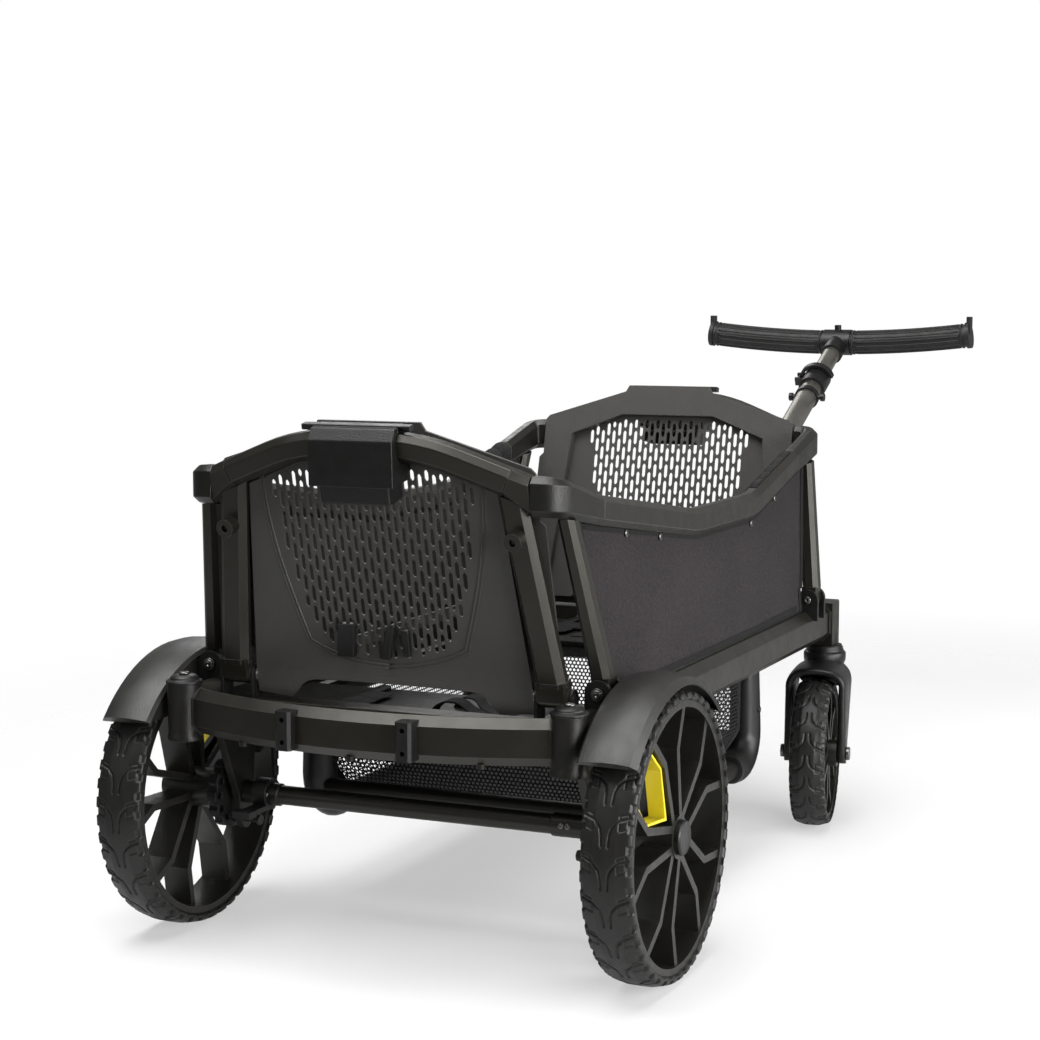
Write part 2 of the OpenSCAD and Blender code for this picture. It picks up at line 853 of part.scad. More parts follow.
module handle_tube() {
    knuckle_r = 19;
    in_place(charcoal)
        on_handle()
            difference() {
                union() {
                    along_y(0)
                        cylinder(d = handle_tube_d, h = handle_tube_len);
                    along_x(-yoke_in + loose)
                        cylinder(r = knuckle_r, h = 2 * (yoke_in - loose));
                }
                along_x(-yoke_in)
                    cylinder(d = handle_pin_d + 2 * run, h = 2 * yoke_in);
                along_y(knuckle_r + 16)
                    cylinder(d = tube_bore, h = handle_tube_len);
            }
}

collar_y = handle_tube_len - collar_len + 6;
lever_pin_x = collar_d / 2 + 7;
lever_pin_d = 5;
lever_t = 12;
lever_y = handle_tube_len - 8;
module handle_collar() {
    ear_t = 5;
    ring_y = collar_y - 34;
    knob_d = 14;
    in_place(black)
        on_handle() {
            difference() {
                union() {
                    along_y(collar_y)
                        cylinder(d = collar_d, h = collar_len);
                    for (y = [lever_y - loose - ear_t, lever_y + lever_t + loose])
                        translate([-lever_pin_x - 7, y, -7])
                            cube([lever_pin_x - collar_d / 2 + 14, ear_t, 14]);
                }
                along_y(collar_y - 1)
                    cylinder(d = handle_tube_d + snug, h = handle_tube_len - collar_y + 1);
                along_y(handle_tube_len - 1)
                    cylinder(d = tube_bore + 0.3, h = collar_len);
            }
            translate([-lever_pin_x, 0, 0])
                along_y(lever_y - loose - ear_t)
                    cylinder(d = lever_pin_d, h = lever_t + 2 * loose + 2 * ear_t);
            difference() {
                union() {
                    along_y(ring_y)
                        cylinder(d = handle_tube_d + 6, h = 10);
                    translate([0, ring_y + 5, 0])
                        along_x(-handle_tube_d / 2 - 12)
                            cylinder(d = knob_d - 5, h = handle_tube_d + 24);
                    both_sides()
                        translate([0, ring_y + 5, 0])
                            along_x(handle_tube_d / 2 + 7)
                                cylinder(d = knob_d, h = 6);
                }
                along_y(ring_y - 20)
                    cylinder(d = handle_tube_d + snug, h = 50);
            }
        }
}

module clamp_lever() {
    arm_in = collar_d / 2 + 1.5;
    arm_t = 6;
    in_place(black)
        on_handle()
            difference() {
                union() {
                    translate([-lever_pin_x, 0, 0])
                        along_y(lever_y)
                            cylinder(d = 12, h = lever_t);
                    along_y(lever_y)
                        rotate([0, 0, 180])
                            rotate_extrude(angle = 170)
                                translate([arm_in, 0])
                                    square([arm_t, lever_t]);
                }
                translate([-lever_pin_x, 0, 0])
                    along_y(lever_y - 1)
                        cylinder(d = lever_pin_d + 2 * run, h = lever_t + 2);
            }
}

module upper_tube() {
    inside = 320;
    start = handle_tube_len - inside;
    length = handle_len - hub_d / 2 - start;
    wall = 2.5;
    in_place(charcoal)
        on_handle()
            difference() {
                along_y(start)
                    cylinder(d = upper_tube_d, h = length);
                along_y(start - 1)
                    cylinder(d = upper_tube_d - 2 * wall, h = length - 5);
            }
}

hub_d = grip_d + 6;
hub_w = 50;
bar_r = bar_w * bar_w / (8 * bar_rise);
bar_tilt = 64;
// The bowed line of the crossbar, between two distances from its middle
module bar_arc(from, to, d) {
    translate([0, handle_len, 0])
        rotate([bar_tilt, 0, 0])
            translate([0, bar_r, 0])
                rotate([0, 0, -90 + from / bar_r * 180 / PI])
                    rotate_extrude(angle = (to - from) / bar_r * 180 / PI, $fn = 360)
                        translate([bar_r, 0])
                            circle(d = d);
}

module tee_hub() {
    stud_d = 12;
    in_place(black)
        on_handle()
            difference() {
                union() {
                    translate([0, handle_len, 0])
                        along_x(-hub_w / 2)
                            cylinder(d = hub_d, h = hub_w);
                    along_y(handle_len - 48)
                        cylinder(d = upper_tube_d + 8, h = 40);
                    translate([0, handle_len, 0])
                        rotate([-20, 0, 0])
                            cylinder(d = stud_d, h = hub_d / 2 + 8);
                }
                bar_arc(-hub_w, hub_w, bar_d + 2 * run);
                along_y(handle_len - 60)
                    cylinder(d = upper_tube_d + snug, h = 60 - hub_d / 2);
            }
}

module handle_bar() {
    wall = 2.5;
    in_place(steel)
        on_handle()
            difference() {
                bar_arc(-bar_w / 2 + 8, bar_w / 2 - 8, bar_d);
                bar_arc(-bar_w / 2, bar_w / 2, bar_d - 2 * wall);
            }
}

module grips() {
    flange_d = grip_d + 6;
    flange_t = 7;
    horn = 9;
    start = hub_w / 2 + 0.5;
    in_place(black)
        on_handle()
            for (side = [-1, 1])
                difference() {
                    union() {
                        bar_arc(min(side * start, side * bar_w / 2),
                            max(side * start, side * bar_w / 2), grip_d);
                        bar_arc(min(side * (bar_w / 2 - flange_t), side * bar_w / 2),
                            max(side * (bar_w / 2 - flange_t), side * bar_w / 2), flange_d);
                        translate([side * (bar_w / 2 - flange_t / 2), handle_len, 0])
                            rotate([bar_tilt, 0, 0])
                                translate([-flange_t / 2, bar_rise, -9])
                                    cube([flange_t, flange_d / 2 + horn, 18]);
                    }
                    bar_arc(-bar_w / 2 + 8 - seat, bar_w / 2 - 8 + seat, bar_d + snug);
                }
}

// Side walls
side_path = softened([
    [side_start + seat, side_high - side_rail_h / 2],
    [tub_mid + side_shift - side_level / 2, side_low - side_rail_h / 2],
    [tub_mid + side_shift + side_level / 2, side_low - side_rail_h / 2],
    [tub_mid + side_half, side_high - side_rail_h / 2]
], 22, 4);
function side_heading(i) = i == 0 || i == len(side_path) - 1 ? [1, 0] : heading(side_path, i);

module side_rails() {
    section = octagon(side_rail_t, side_rail_h, 7);
    in_place(frame_grey)
        both_sides()
            loft([for (i = [0 : len(side_path) - 1])
                let (p = side_path[i], t = side_heading(i))
                [for (q = section) [side_x + q[0], p[0] - q[1] * t[1], p[1] + q[1] * t[0]]]]);
}

cast_path = softened([
    [wall_half + 0.5, cast_y, cast_z], [side_x, cast_y, cast_z],
    [side_x, side_start, side_high - side_rail_h / 2]
], 22, 8);
// Height of the corner casting, which narrows to the height of the rail
function cast_size(y) = cast_h - (cast_h - side_rail_h) * (y - cast_y) / (side_start - cast_y);

module side_castings() {
    in_place(charcoal)
        both_ends()
            both_sides()
                loft([for (i = [0 : len(cast_path) - 1])
                    let (p = cast_path[i], t = cast_heading(i))
                    [for (q = octagon(side_rail_t, cast_size(p[1]), 7))
                        [p[0] + q[0] * t[1], p[1] - q[0] * t[0], p[2] + q[1]]]]);
}
function cast_heading(i) = i == 0 ? [1, 0] : i == len(cast_path) - 1 ? [0, 1]
    : let (d = heading(cast_path, i)) unit([d[0], d[1]]);
// Underside of the corner casting along its straight run
cast_drop = (cast_z - side_high + side_rail_h / 2) / (side_start - cast_y);
function cast_under(y) = cast_z - (y - cast_y) * cast_drop - cast_size(y) / 2;

post_foot_y = lug_y + lug_ear_t + lug_gap / 2;
post_top_y = post_foot_y - (cast_z - lug_z) * tan(wall_lean);
neck_h = lug_r + 1;
neck_y = post_foot_y - neck_h * tan(wall_lean);
module side_posts() {
    section = reversed(octagon(22, lug_gap - 2 * loose, 6));
    in_place(frame_grey)
        both_ends()
            both_sides()
                difference() {
                    union() {
                        translate([lug_x - foot_d / 2, post_foot_y - lug_gap / 2 + loose, lug_z])
                            cube([foot_d, lug_gap - 2 * loose, neck_h + 1]);
                        loft([
                            [for (q = section) [lug_x + q[0], neck_y + q[1], lug_z + neck_h]],
                            [for (q = section) let (y = post_top_y + q[1])
                                [side_x + 1 + q[0] * 0.85, y, cast_under(y) - seat]]
                        ]);
                        translate([lug_x, 0, lug_z])
                            along_y(post_foot_y - lug_gap / 2 + loose)
                                cylinder(d = foot_d, h = lug_gap - 2 * loose);
                    }
                    translate([lug_x, 0, lug_z])
                        along_y(post_foot_y - lug_gap / 2)
                            cylinder(d = lug_bolt_d + 2 * run, h = lug_gap);
                }
}

// Cloth between the side posts, in a plane that leans in from the base rail to the side rail
module side_fabric() {
    low = rail_top + 2;
    low_x = lug_x - 6;
    ear_end = lug_y + 2 * lug_ear_t + lug_gap + 1;
    ear_top = lug_z + lug_r + 2;
    edge_y = lug_gap / 2 + 1;
    top_y = post_top_y + edge_y;
    lean = atan((low_x - side_x - cloth_t / 2) / (cast_under(top_y) - low));
    under = [for (i = [0 : len(side_path) - 1]) let (t = side_heading(i))
        side_path[i] + (side_rail_h / 2 + seat) * [t[1], -t[0]]];
    end = [[ear_end, low], [ear_end, ear_top], [neck_y + edge_y, ear_top], [top_y, cast_under(top_y) - seat]];
    outline = concat(end, under, [for (p = reversed(end)) [2 * tub_mid - p[0], p[1]]]);
    in_place(cloth_grey)
        both_sides()
            translate([low_x, 0, low])
                rotate([90, 0, 90])
                    rotate([-lean, 0, 0])
                        translate([0, 0, -cloth_t])
                            linear_extrude(cloth_t)
                                polygon([for (p = outline) [p[0], (p[1] - low) / cos(lean)]]);
}

module harness_pads() {
    pad_l = 90;
    pad_w = 46;
    pad_t = 7;
    in_place(black)
        both_ends()
            both_sides()
                translate([70, hinge_y + 70, deck_top])
                    linear_extrude(pad_t)
                        polygon([[6, 0], [pad_w - 6, 0], [pad_w, 8], [pad_w - 4, pad_l - 6],
                            [pad_w - 12, pad_l], [12, pad_l], [4, pad_l - 6], [0, 8]]);
}

// Rear wheels, modelled on the right with the wheel's middle at the origin
module tyre(r, w, t, groove) {
    crown = 5;
    rotate([0, 90, 0])
        rotate_extrude($fn = 96)
            polygon([[r - t, w / 2 - 3], [r - crown - 3, w / 2], [r - crown, w / 2 - 1], [r - 2, w / 2 - 9],
                [r, w / 5], [r, groove], [r - 2.5, groove - 1], [r - 2.5, 1 - groove], [r, -groove],
                [r, -w / 5], [r - 2, 9 - w / 2], [r - crown, 1 - w / 2], [r - crown - 3, -w / 2],
                [r - t, 3 - w / 2]]);
}

function polar(r, a) = [r * cos(a), r * sin(a)];
function beside(p, heading, n) = p + n * [-heading[1], heading[0]];
// One blade, as a kinked strip from the hub to the rim
module blade(side, hub_r, kink_r, rim_r, kink_a, rim_a, t) {
    hub = polar(hub_r, 4 * side);
    kink = polar(kink_r, kink_a * side);
    rim = polar(rim_r, rim_a * side);
    low = unit(kink - hub);
    high = unit(rim - kink);
    middle = unit(low + high);
    mitre = t / 2 / (middle * low);
    polygon([beside(hub, low, t / 2), beside(kink, middle, mitre), beside(rim, high, t / 2),
        beside(rim, high, -t / 2), beside(kink, middle, -mitre), beside(hub, low, -t / 2)]);
}

module spoked_rim(r, rim_t, w, hub_d, hub_in, hub_out, bore, blade_t, depth, turn) {
    inner = r - rim_t;
    rotate([90, 0, 90])
        difference() {
            union() {
                translate([0, 0, -w / 2])
                    difference() {
                        cylinder(r = r, h = w, $fn = 96);
                        translate([0, 0, -1])
                            cylinder(r = inner, h = w + 2, $fn = 96);
                    }
                translate([0, 0, w / 2 - depth - 2])
                    linear_extrude(depth)
                        intersection() {
                            circle(r = inner + rim_t / 2, $fn = 96);
                            union()
                                for (k = [0 : petals - 1], side = [-1, 1])
                                    rotate(turn + k * 360 / petals)
                                        blade(side, hub_d / 2 - 3, 0.69 * inner, inner + rim_t,
                                            24, 15.5, blade_t);
                        }
                translate([0, 0, -hub_in])
                    cylinder(d = hub_d, h = hub_in + hub_out);
            }
            translate([0, 0, -hub_in - 1])
                cylinder(d = bore, h = hub_in + hub_out + 2);
        }
}

function first_petal(side) = petal_turn + (side < 0 ? left_turn : 0);
module at_rear_wheel(side) {
    stand()
        translate([side * wheel_x, 0, rear_r])
            mirror([side < 0 ? 1 : 0, 0, 0])
                children();
}
module rear_tyre(side) {
    color(rubber)
        at_rear_wheel(side)
            tyre(rear_r, rear_tyre_w, rear_tyre_t - seat, 4);
}
module rear_rim(side) {
    color(charcoal)
        at_rear_wheel(side)
            spoked_rim(rim_r, rear_rim_t, rear_tyre_w - 6, rear_hub_d,
                wheel_x - hub_inner_x, hub_outer_x - wheel_x - 6,
                spindle_d + 2 * run, spoke_t, spoke_depth, first_petal(side));
}
module hub_cap(side) {
    cap_r = rear_hub_d / 2 - 4;
    color(black)
        at_rear_wheel(side)
            translate([hub_outer_x - wheel_x - 6, 0, 0])
                rotate([0, 90, 0])
                    rotate_extrude()
                        polygon([[0, 0], [cap_r, 0], [cap_r, 5], [cap_r - 2, 7], [cap_r - 4, 6.5], [0, 7]]);
}
module brake_ring(side) {
    color(black)
        at_rear_wheel(side)
            translate([brake_ring_x - wheel_x, 0, 0])
                rotate([0, 90, 0])
                    difference() {
                        cylinder(d = brake_ring_d, h = brake_ring_t - seat);
                        translate([0, 0, -1])
                            cylinder(d = spindle_d + 4, h = brake_ring_t + 2);
                        for (k = [0 : brake_holes - 1])
                            rotate(k * 360 / brake_holes) {
                                translate([stop_r, 0, -1])
                                    cylinder(d = stop_hole_d, h = brake_ring_t + 2);
                                rotate(180 / brake_holes)
                                    translate([brake_ring_d / 2 + 2, 0, -1])
                                        cylinder(d = 12, h = brake_ring_t + 2);
                            }
                    }
}
// A band along the inner walls of one petal's opening
module spoke_liner(side) {
    inner = rim_r - rear_rim_t;
    liner_t = 3;
    depth = spoke_depth - 8;
    clear = spoke_t / 2 + seat;
    hub_r = rear_hub_d / 2 + 14;
    kink = polar(0.69 * inner, 24);
    end = polar(inner - 3, 15.5);
    low = unit(kink - polar(rear_hub_d / 2 - 4, 4));
    high = unit(end - kink);
    bisect = unit(low + high);
    function side_points(n) = [
        [hub_r, 0],
        beside(kink, bisect, -n / (bisect * low)),
        beside(end, high, -n)
    ];
    outer = side_points(clear);
    inside = side_points(clear + liner_t);
    color(accent_yellow)
        at_rear_wheel(side)
            rotate([90, 0, 90])
                rotate(first_petal(side) + 360 / petals)
                    translate([0, 0, (rear_tyre_w - 6) / 2 - depth - 5])
                        linear_extrude(depth)
                            for (m = [0, 1])
                                mirror([0, m])
                                    polygon([outer[0], outer[1], outer[2], inside[2], inside[1],
                                        inside[0] + [liner_t * 2.2, 0]]);
}

module rear_tyre_left() rear_tyre(-1);
module rear_tyre_right() rear_tyre(1);
module rear_rim_left() rear_rim(-1);
module rear_rim_right() rear_rim(1);
module hub_cap_left() hub_cap(-1);
module hub_cap_right() hub_cap(1);
module brake_ring_left() brake_ring(-1);
module brake_ring_right() brake_ring(1);
module spoke_liner_left() spoke_liner(-1);
module spoke_liner_right() spoke_liner(1);

// Casters, each in a frame with its swivel on the Z axis and its wheel behind
module at_caster(side) {
    stand()
        translate([side * swivel_x, swivel_y, 0])
            rotate([0, 0, caster_turn])
                children();
}
module caster_fork(side) {
    boss_r = caster_bolt_d / 2 + 9;
    crown_back = -caster_trail - 12;
    bevel = 7;
    web_h = 25;
    neck_r = corner_d / 2;
    neck_base = crown_z + crown_t - 2;
    rib = (boot_top - neck_base) / 6;
    color(black)
        at_caster(side)
            difference() {
                union() {
                    for (x = [-leg_out, leg_in])
                        translate([x, 0, 0])
                            rotate([90, 0, 90])
                                linear_extrude(fork_leg_t)
                                    union() {
                                        polygon([[-caster_trail - boss_r, front_r], [crown_back, crown_z],
                                            [crown_back + 6, crown_z + 6], [-18, crown_z + 6],
                                            [-18, crown_z - 8], [-caster_trail + boss_r, front_r]]);
                                        translate([-caster_trail, front_r])
                                            circle(r = boss_r);
                                    }
                    translate([0, 2 - bevel, crown_z])
                        rotate([90, 0, 0])
                            linear_extrude(-crown_back - bevel)
                                polygon(both_halves([[leg_out + 0.5, 0], [leg_out + 0.5, crown_t - 1 - bevel],
                                    [leg_out + 0.5 - bevel, crown_t - 1]]));
                    translate([-neck_r, -30, crown_z])
                        cube([2 * neck_r, 30, crown_t - 1]);
                    translate([-leg_in - 1, -26, crown_z - web_h])
                        cube([2 * leg_in + 2, 7.5, web_h + 1]);
                    translate([0, 0, crown_z])
                        cylinder(r = neck_r, h = crown_t - 1);
                    translate([0, 0, neck_base])
                        rotate_extrude()
                            polygon(concat([[0, 0]], [for (i = [0 : 5]) each [[neck_r, rib * i],
                                [neck_r - 2.5, rib * (i + 0.5)]]], [[neck_r, rib * 6], [0, rib * 6]]));
                    translate([0, 0, neck_base])
                        cylinder(d = stem_d, h = corner_top - 14 - neck_base);
                }
                translate([0, -caster_trail, front_r])
                    along_x(-leg_out - 1)
                        cylinder(d = caster_bolt_d + snug, h = 2 * leg_out + 2);
            }
}
module caster_bolt(side) {
    head_d = caster_bolt_d + 8;
    head_t = 5;
    color(steel)
        at_caster(side)
            translate([0, -caster_trail, front_r]) {
                along_x(-leg_out)
                    cylinder(d = caster_bolt_d, h = 2 * leg_out);
                both_sides()
                    along_x(leg_out)
                        cylinder(d = head_d, h = head_t);
            }
}
module front_tyre(side) {
    color(rubber)
        at_caster(side)
            translate([0, -caster_trail, front_r])
                tyre(front_r, front_tyre_w, 11 - seat, 3);
}
module front_rim(side) {
    color(charcoal)
        at_caster(side)
            translate([0, -caster_trail, front_r])
                mirror([side < 0 ? 1 : 0, 0, 0])
                    spoked_rim(front_r - 11, 6, front_tyre_w - 6, 36, leg_in - loose, leg_in - loose,
                        caster_bolt_d + 2 * run, 6.5, front_tyre_w - 14, 20);
}
module caster_fork_left() caster_fork(-1);
module caster_fork_right() caster_fork(1);
module caster_bolt_left() caster_bolt(-1);
module caster_bolt_right() caster_bolt(1);
module front_tyre_left() front_tyre(-1);
module front_tyre_right() front_tyre(1);
module front_rim_left() front_rim(-1);
module front_rim_right() front_rim(1);

// End walls, each modelled as the rear one
rail_path = softened([
    [-rail_joint + seat, rail_mid_v - (rail_joint - shoulder_start) * tan(shoulder_slope)],
    [-shoulder_start, rail_mid_v], [shoulder_start, rail_mid_v],
    [rail_joint - seat, rail_mid_v - (rail_joint - shoulder_start) * tan(shoulder_slope)]
], 45, 6);
function bowed(u) = rail_bow * (1 - pow(u / wall_half, 2)) - top_rail_t / 2 + 2;
function rail_ring(p, t, extra) = [for (q = octagon(top_rail_t + extra, top_rail_h + extra, 7))
    [p[0] - q[1] * t[1], p[1] + q[1] * t[0], bowed(p[0]) + q[0]]];

module wall_rail(extra = 0) {
    loft([for (i = [0 : len(rail_path) - 1])
        rail_ring(rail_path[i], rail_heading(i), extra)]);
}
function rail_heading(i) = i == 0 ? [cos(shoulder_slope), sin(shoulder_slope)]
    : i == len(rail_path) - 1 ? [cos(shoulder_slope), -sin(shoulder_slope)] : heading(rail_path, i);

// Middle and underside of the top rail along its shoulders
function shoulder_v(u) = rail_mid_v - (abs(u) - shoulder_start) * tan(shoulder_slope);
function rail_under(u) = min(rail_mid_v, shoulder_v(u)) - top_rail_h / 2 / cos(shoulder_slope);
function post_u(v) = post_pitch / 2 - (v - hinge_v) * tan(post_lean);

module wall_posts() {
    section = octagon(post_w, post_t, 7);
    slope = [cos(shoulder_slope), -sin(shoulder_slope)];
    cap_from = rail_joint + seat;
    cap_v = shoulder_v(wall_half) - 5;
    foot_v = hinge_v + 16;
    top_u = post_u(rail_under(rail_joint));
    neck = 18;
    neck_u = cap_from + 1;
    socket_d = 9;
    both_sides()
        difference() {
            union() {
                loft([
                    [for (q = section) [post_pitch / 2 + q[0], foot_v, q[1] - post_t / 2]],
                    [for (q = section) let (u = top_u + q[0]) [u, rail_under(u) - seat, q[1] - post_t / 2]]
                ]);
                translate([post_pitch / 2 - post_w / 2 + 0.6, hinge_v, 0.6 - post_t])
                    cube([post_w - 1.2, foot_v - hinge_v + 6, post_t - 1.2]);
                translate([0, hinge_v, hinge_w])
                    along_x(post_pitch / 2 - post_w / 2)
                        cylinder(r = hinge_eye_r, h = post_w);
                loft([rail_ring([cap_from, shoulder_v(cap_from)], slope, 0),
                    [for (q = octagon(top_rail_t, cast_h, 7))
                        [wall_half, cap_v + q[1], bowed(wall_half) + q[0]]]]);
                translate([neck_u, rail_under(neck_u) - neck, 4 - post_t])
                    cube([neck, 2 * neck - 6, post_t - 8]);
                translate([post_u(boss_v), boss_v, -2])
                    cylinder(d = boss_d, h = 16);
            }
            translate([post_u(boss_v), boss_v, 8])
                cylinder(d = socket_d, h = 10, $fn = 6);
            translate([0, hinge_v, hinge_w])
                along_x(0)
                    cylinder(d = hinge_pin_d + 2 * run, h = post_pitch);
        }
}

// Grille of an end panel: the limits of its slots in each column
slot_row_v = panel_foot + 70;
grille_low = panel_foot + 64;
grille_span = 182;
pan_foot = [post_pitch / 2 - 24, 12];
pan_shoulder = [wall_half - 40.3, 228];
pan_head = [shoulder_start, 258.5];
grille_half_top = pan_shoulder[0] - 26.6;
grille_half_low = grille_half_top - 35.9;
function grille_foot(u) =
    let (over = (abs(u) + slot_w / 2 - grille_half_low) / (grille_half_top - grille_half_low))
    over > 0 ? grille_low + 6 + grille_span / 90 * asin(min(1, over))
    : grille_low + 22 * pow(u / grille_half_low, 2) - 16;
function grille_head(u) = rail_mid_v - 29.5 - max(0, abs(u) - shoulder_start) * 0.28;

module slot(from, to) {
    half = slot_w / 2;
    bevel = slot_w * 0.3;
    polygon([[half, from + half], [half, to - half], [half - bevel, to], [bevel - half, to],
        [-half, to - half], [-half, from + half], [bevel - half, from], [half - bevel, from]]);
}

// Outline of the panel's forward tray, drawn in by a distance
function pan(d) = both_halves([pan_foot + [-d, d], pan_shoulder + [-d, -0.8 * d], pan_head + [-0.4 * d, -d]]);

module wall_panel() {
    edge = post_pitch / 2 - post_w / 2 - 10;
    wide = post_pitch / 2 + 6;
    waist = wall_half - 0.8;
    notch_half = 101;
    notch_h = 20;
    step_v = hinge_v + 26;
    pan_w = -post_t / 2;
    columns = floor((grille_half_top - slot_w / 2) / slot_pitch_x);
    rows = ceil(wall_h / slot_pitch_y);
    translate([0, 0, panel_w])
        linear_extrude(panel_t - seat)
            difference() {
                polygon(both_halves([
                    [notch_half, panel_foot + notch_h], [notch_half + 25, panel_foot], [edge, panel_foot],
                    [edge, step_v], [wide, step_v + 10], [wide - 4.5, 190], [waist, 196], [waist, 246],
                    [waist - 5.5, 252], [66, wall_h - 6], [61, wall_h + 3]
                ]));
                polygon(pan(2.6));
            }
    translate([0, 0, panel_w + 1])
        linear_extrude(pan_w - 1 - panel_w - 1)
            difference() {
                polygon(pan(0.4));
                polygon(pan(3.4));
            }
    translate([0, 0, pan_w - panel_t])
        linear_extrude(panel_t)
            difference() {
                polygon(pan(0));
                for (i = [-columns : columns], j = [-2 : rows]) {
                    u = i * slot_pitch_x;
                    v = slot_row_v + (j + (i % 2 == 0 ? 0 : 0.5)) * slot_pitch_y;
                    from = max(v - slot_l / 2, grille_foot(u));
                    to = min(v + slot_l / 2, grille_head(u));
                    if (to - from > slot_w + 2)
                        translate([u, 0])
                            slot(from, to);
                }
            }
}

// Latch housing at the middle of the top rail, a wedge that is open below for the paddle
latch_half = 49.5;
latch_low = rail_mid_v - 38.5;
latch_back = 0.5 - post_t / 2;
latch_wall = 3;
latch_roof = rail_mid_v - top_rail_h / 2 - latch_wall;
paddle_half = 41;
paddle_front = 25;
paddle_gap = 0.35;
module latch_case() {
    saddle_half = 64;
    top = wall_h + 5;
    difference() {
        union() {
            translate([-latch_half, 0, 0])
                rotate([90, 0, 90])
                    linear_extrude(2 * latch_half)
                        polygon([[latch_low, latch_back], [top, latch_back], [top, 14],
                            [top - 11, 24], [latch_low, 32]]);
            translate([-saddle_half, wall_h + 0.3, -2])
                cube([2 * saddle_half, 6.7, 10]);
        }
        wall_rail(0.1);
        translate([-paddle_half - paddle_gap, latch_low - 1, latch_back + latch_wall])
            cube([2 * (paddle_half + paddle_gap), latch_roof - latch_low + 1,
                paddle_front + paddle_gap - latch_back - latch_wall]);
    }
}

paddle_travel = 10;
module latch_paddle() {
    back = latch_back + latch_wall + paddle_gap;
    bottom = latch_low - 21;
    top = latch_roof - paddle_travel - 1;
    lip = 5;
    difference() {
        translate([-paddle_half, bottom, back])
            cube([2 * paddle_half, top - bottom, paddle_front - back]);
        translate([-paddle_half + lip, bottom - 1, back - 1])
            cube([2 * (paddle_half - lip), 17, paddle_front - lip - back]);
    }
}

module rear_wall(shade) {
    in_place(shade)
        on_wall()
            children();
}
module front_wall(shade) {
    in_place(shade)
        front_end()
            on_wall()
                children();
}
module rear_panel() rear_wall(charcoal) wall_panel();
module rear_posts() rear_wall(frame_grey) wall_posts();
module rear_top_rail() rear_wall(frame_grey) wall_rail();
module rear_latch_case() rear_wall(black) latch_case();
module rear_latch_paddle() rear_wall(black) latch_paddle();
module front_panel() front_wall(charcoal) wall_panel();
module front_posts() front_wall(frame_grey) wall_posts();
module front_top_rail() front_wall(frame_grey) wall_rail();
module front_latch_case() front_wall(black) latch_case();
module front_latch_paddle() front_wall(black) latch_paddle();

base_rails();
rear_corners();
corner_caps();
front_corners();
cross_members();
rear_bumper();
bumper_brackets();
floor_decks();
footwell_frame();
footwell_elbows();
footwell_bag();
rear_axle();
axle_hangers();
fenders();
hinge_lugs();
pivot_bolts();
handle_yoke();
side_rails();
side_castings();
side_posts();
side_fabric();
harness_pads();
rear_tyre_left();
rear_rim_left();
hub_cap_left();
brake_ring_left();
spoke_liner_left();
rear_tyre_right();
rear_rim_right();
hub_cap_right();
brake_ring_right();
spoke_liner_right();
caster_fork_left();
caster_bolt_left();
front_tyre_left();
front_rim_left();
caster_fork_right();
caster_bolt_right();
front_tyre_right();
front_rim_right();
handle_tube();
handle_collar();
clamp_lever();
upper_tube();
tee_hub();
handle_bar();
grips();
rear_panel();
rear_posts();
rear_top_rail();
rear_latch_case();
rear_latch_paddle();
front_panel();
front_posts();
front_top_rail();
front_latch_case();
front_latch_paddle();
brake_pedal();
brake_pin_left();
brake_pin_right();
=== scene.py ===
import json
import math

import bpy
import bmesh
import numpy as np
from mathutils import Matrix, Vector


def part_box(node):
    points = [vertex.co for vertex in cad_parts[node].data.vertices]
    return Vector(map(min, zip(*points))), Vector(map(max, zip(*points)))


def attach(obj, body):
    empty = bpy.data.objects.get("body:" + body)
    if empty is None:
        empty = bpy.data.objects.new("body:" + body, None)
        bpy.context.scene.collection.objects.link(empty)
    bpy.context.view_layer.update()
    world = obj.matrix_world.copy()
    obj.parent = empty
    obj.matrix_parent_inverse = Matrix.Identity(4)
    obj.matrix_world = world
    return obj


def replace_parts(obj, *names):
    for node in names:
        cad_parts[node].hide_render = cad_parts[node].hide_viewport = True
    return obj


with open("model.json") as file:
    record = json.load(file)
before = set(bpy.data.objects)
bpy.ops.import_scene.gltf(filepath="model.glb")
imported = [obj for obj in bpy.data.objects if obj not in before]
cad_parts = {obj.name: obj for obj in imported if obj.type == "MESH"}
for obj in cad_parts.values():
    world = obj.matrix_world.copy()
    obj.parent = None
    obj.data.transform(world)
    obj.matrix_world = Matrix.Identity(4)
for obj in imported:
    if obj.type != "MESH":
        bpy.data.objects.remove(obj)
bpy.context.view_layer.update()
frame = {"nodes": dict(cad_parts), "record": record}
nodes = frame["nodes"]
scene = bpy.context.scene
scene.view_settings.view_transform = "Standard"
SIDES = (("left", -1), ("right", 1))
ENDS = (("rear", 1), ("front", -1))

# Stations count Y from the rear axle, in millimetres; at() gives metres in the CAD frame.
axle_lo, axle_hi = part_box("rear_axle")
MID = -500 * (axle_lo[1] + axle_hi[1])
# Middle of the tub, halfway between its end walls
TUB = 361
# Top of the floor decks
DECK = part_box("harness_pads")[0][2] * 1000
# How far the casters stand turned at rest
CASTER_TURN = math.radians(9)


def at(x, y, z):
    return Vector((x / 1000, (y - MID) / 1000, z / 1000))


# A station at the rear end of the tub, or its mirror image at the front end
def from_end(end, y):
    return y if end == "rear" else 2 * TUB - y


def sin(d):
    return math.sin(math.radians(d))


def cos(d):
    return math.cos(math.radians(d))


# Angles of evenly spaced points round a circle
def around(n):
    return [2 * math.pi * i / n for i in range(n)]


# The slope of an end wall: u across, v up the wall, w out of the wall
WALL_LEAN = 12
WALL_Y = -62
WALL_Z = 300


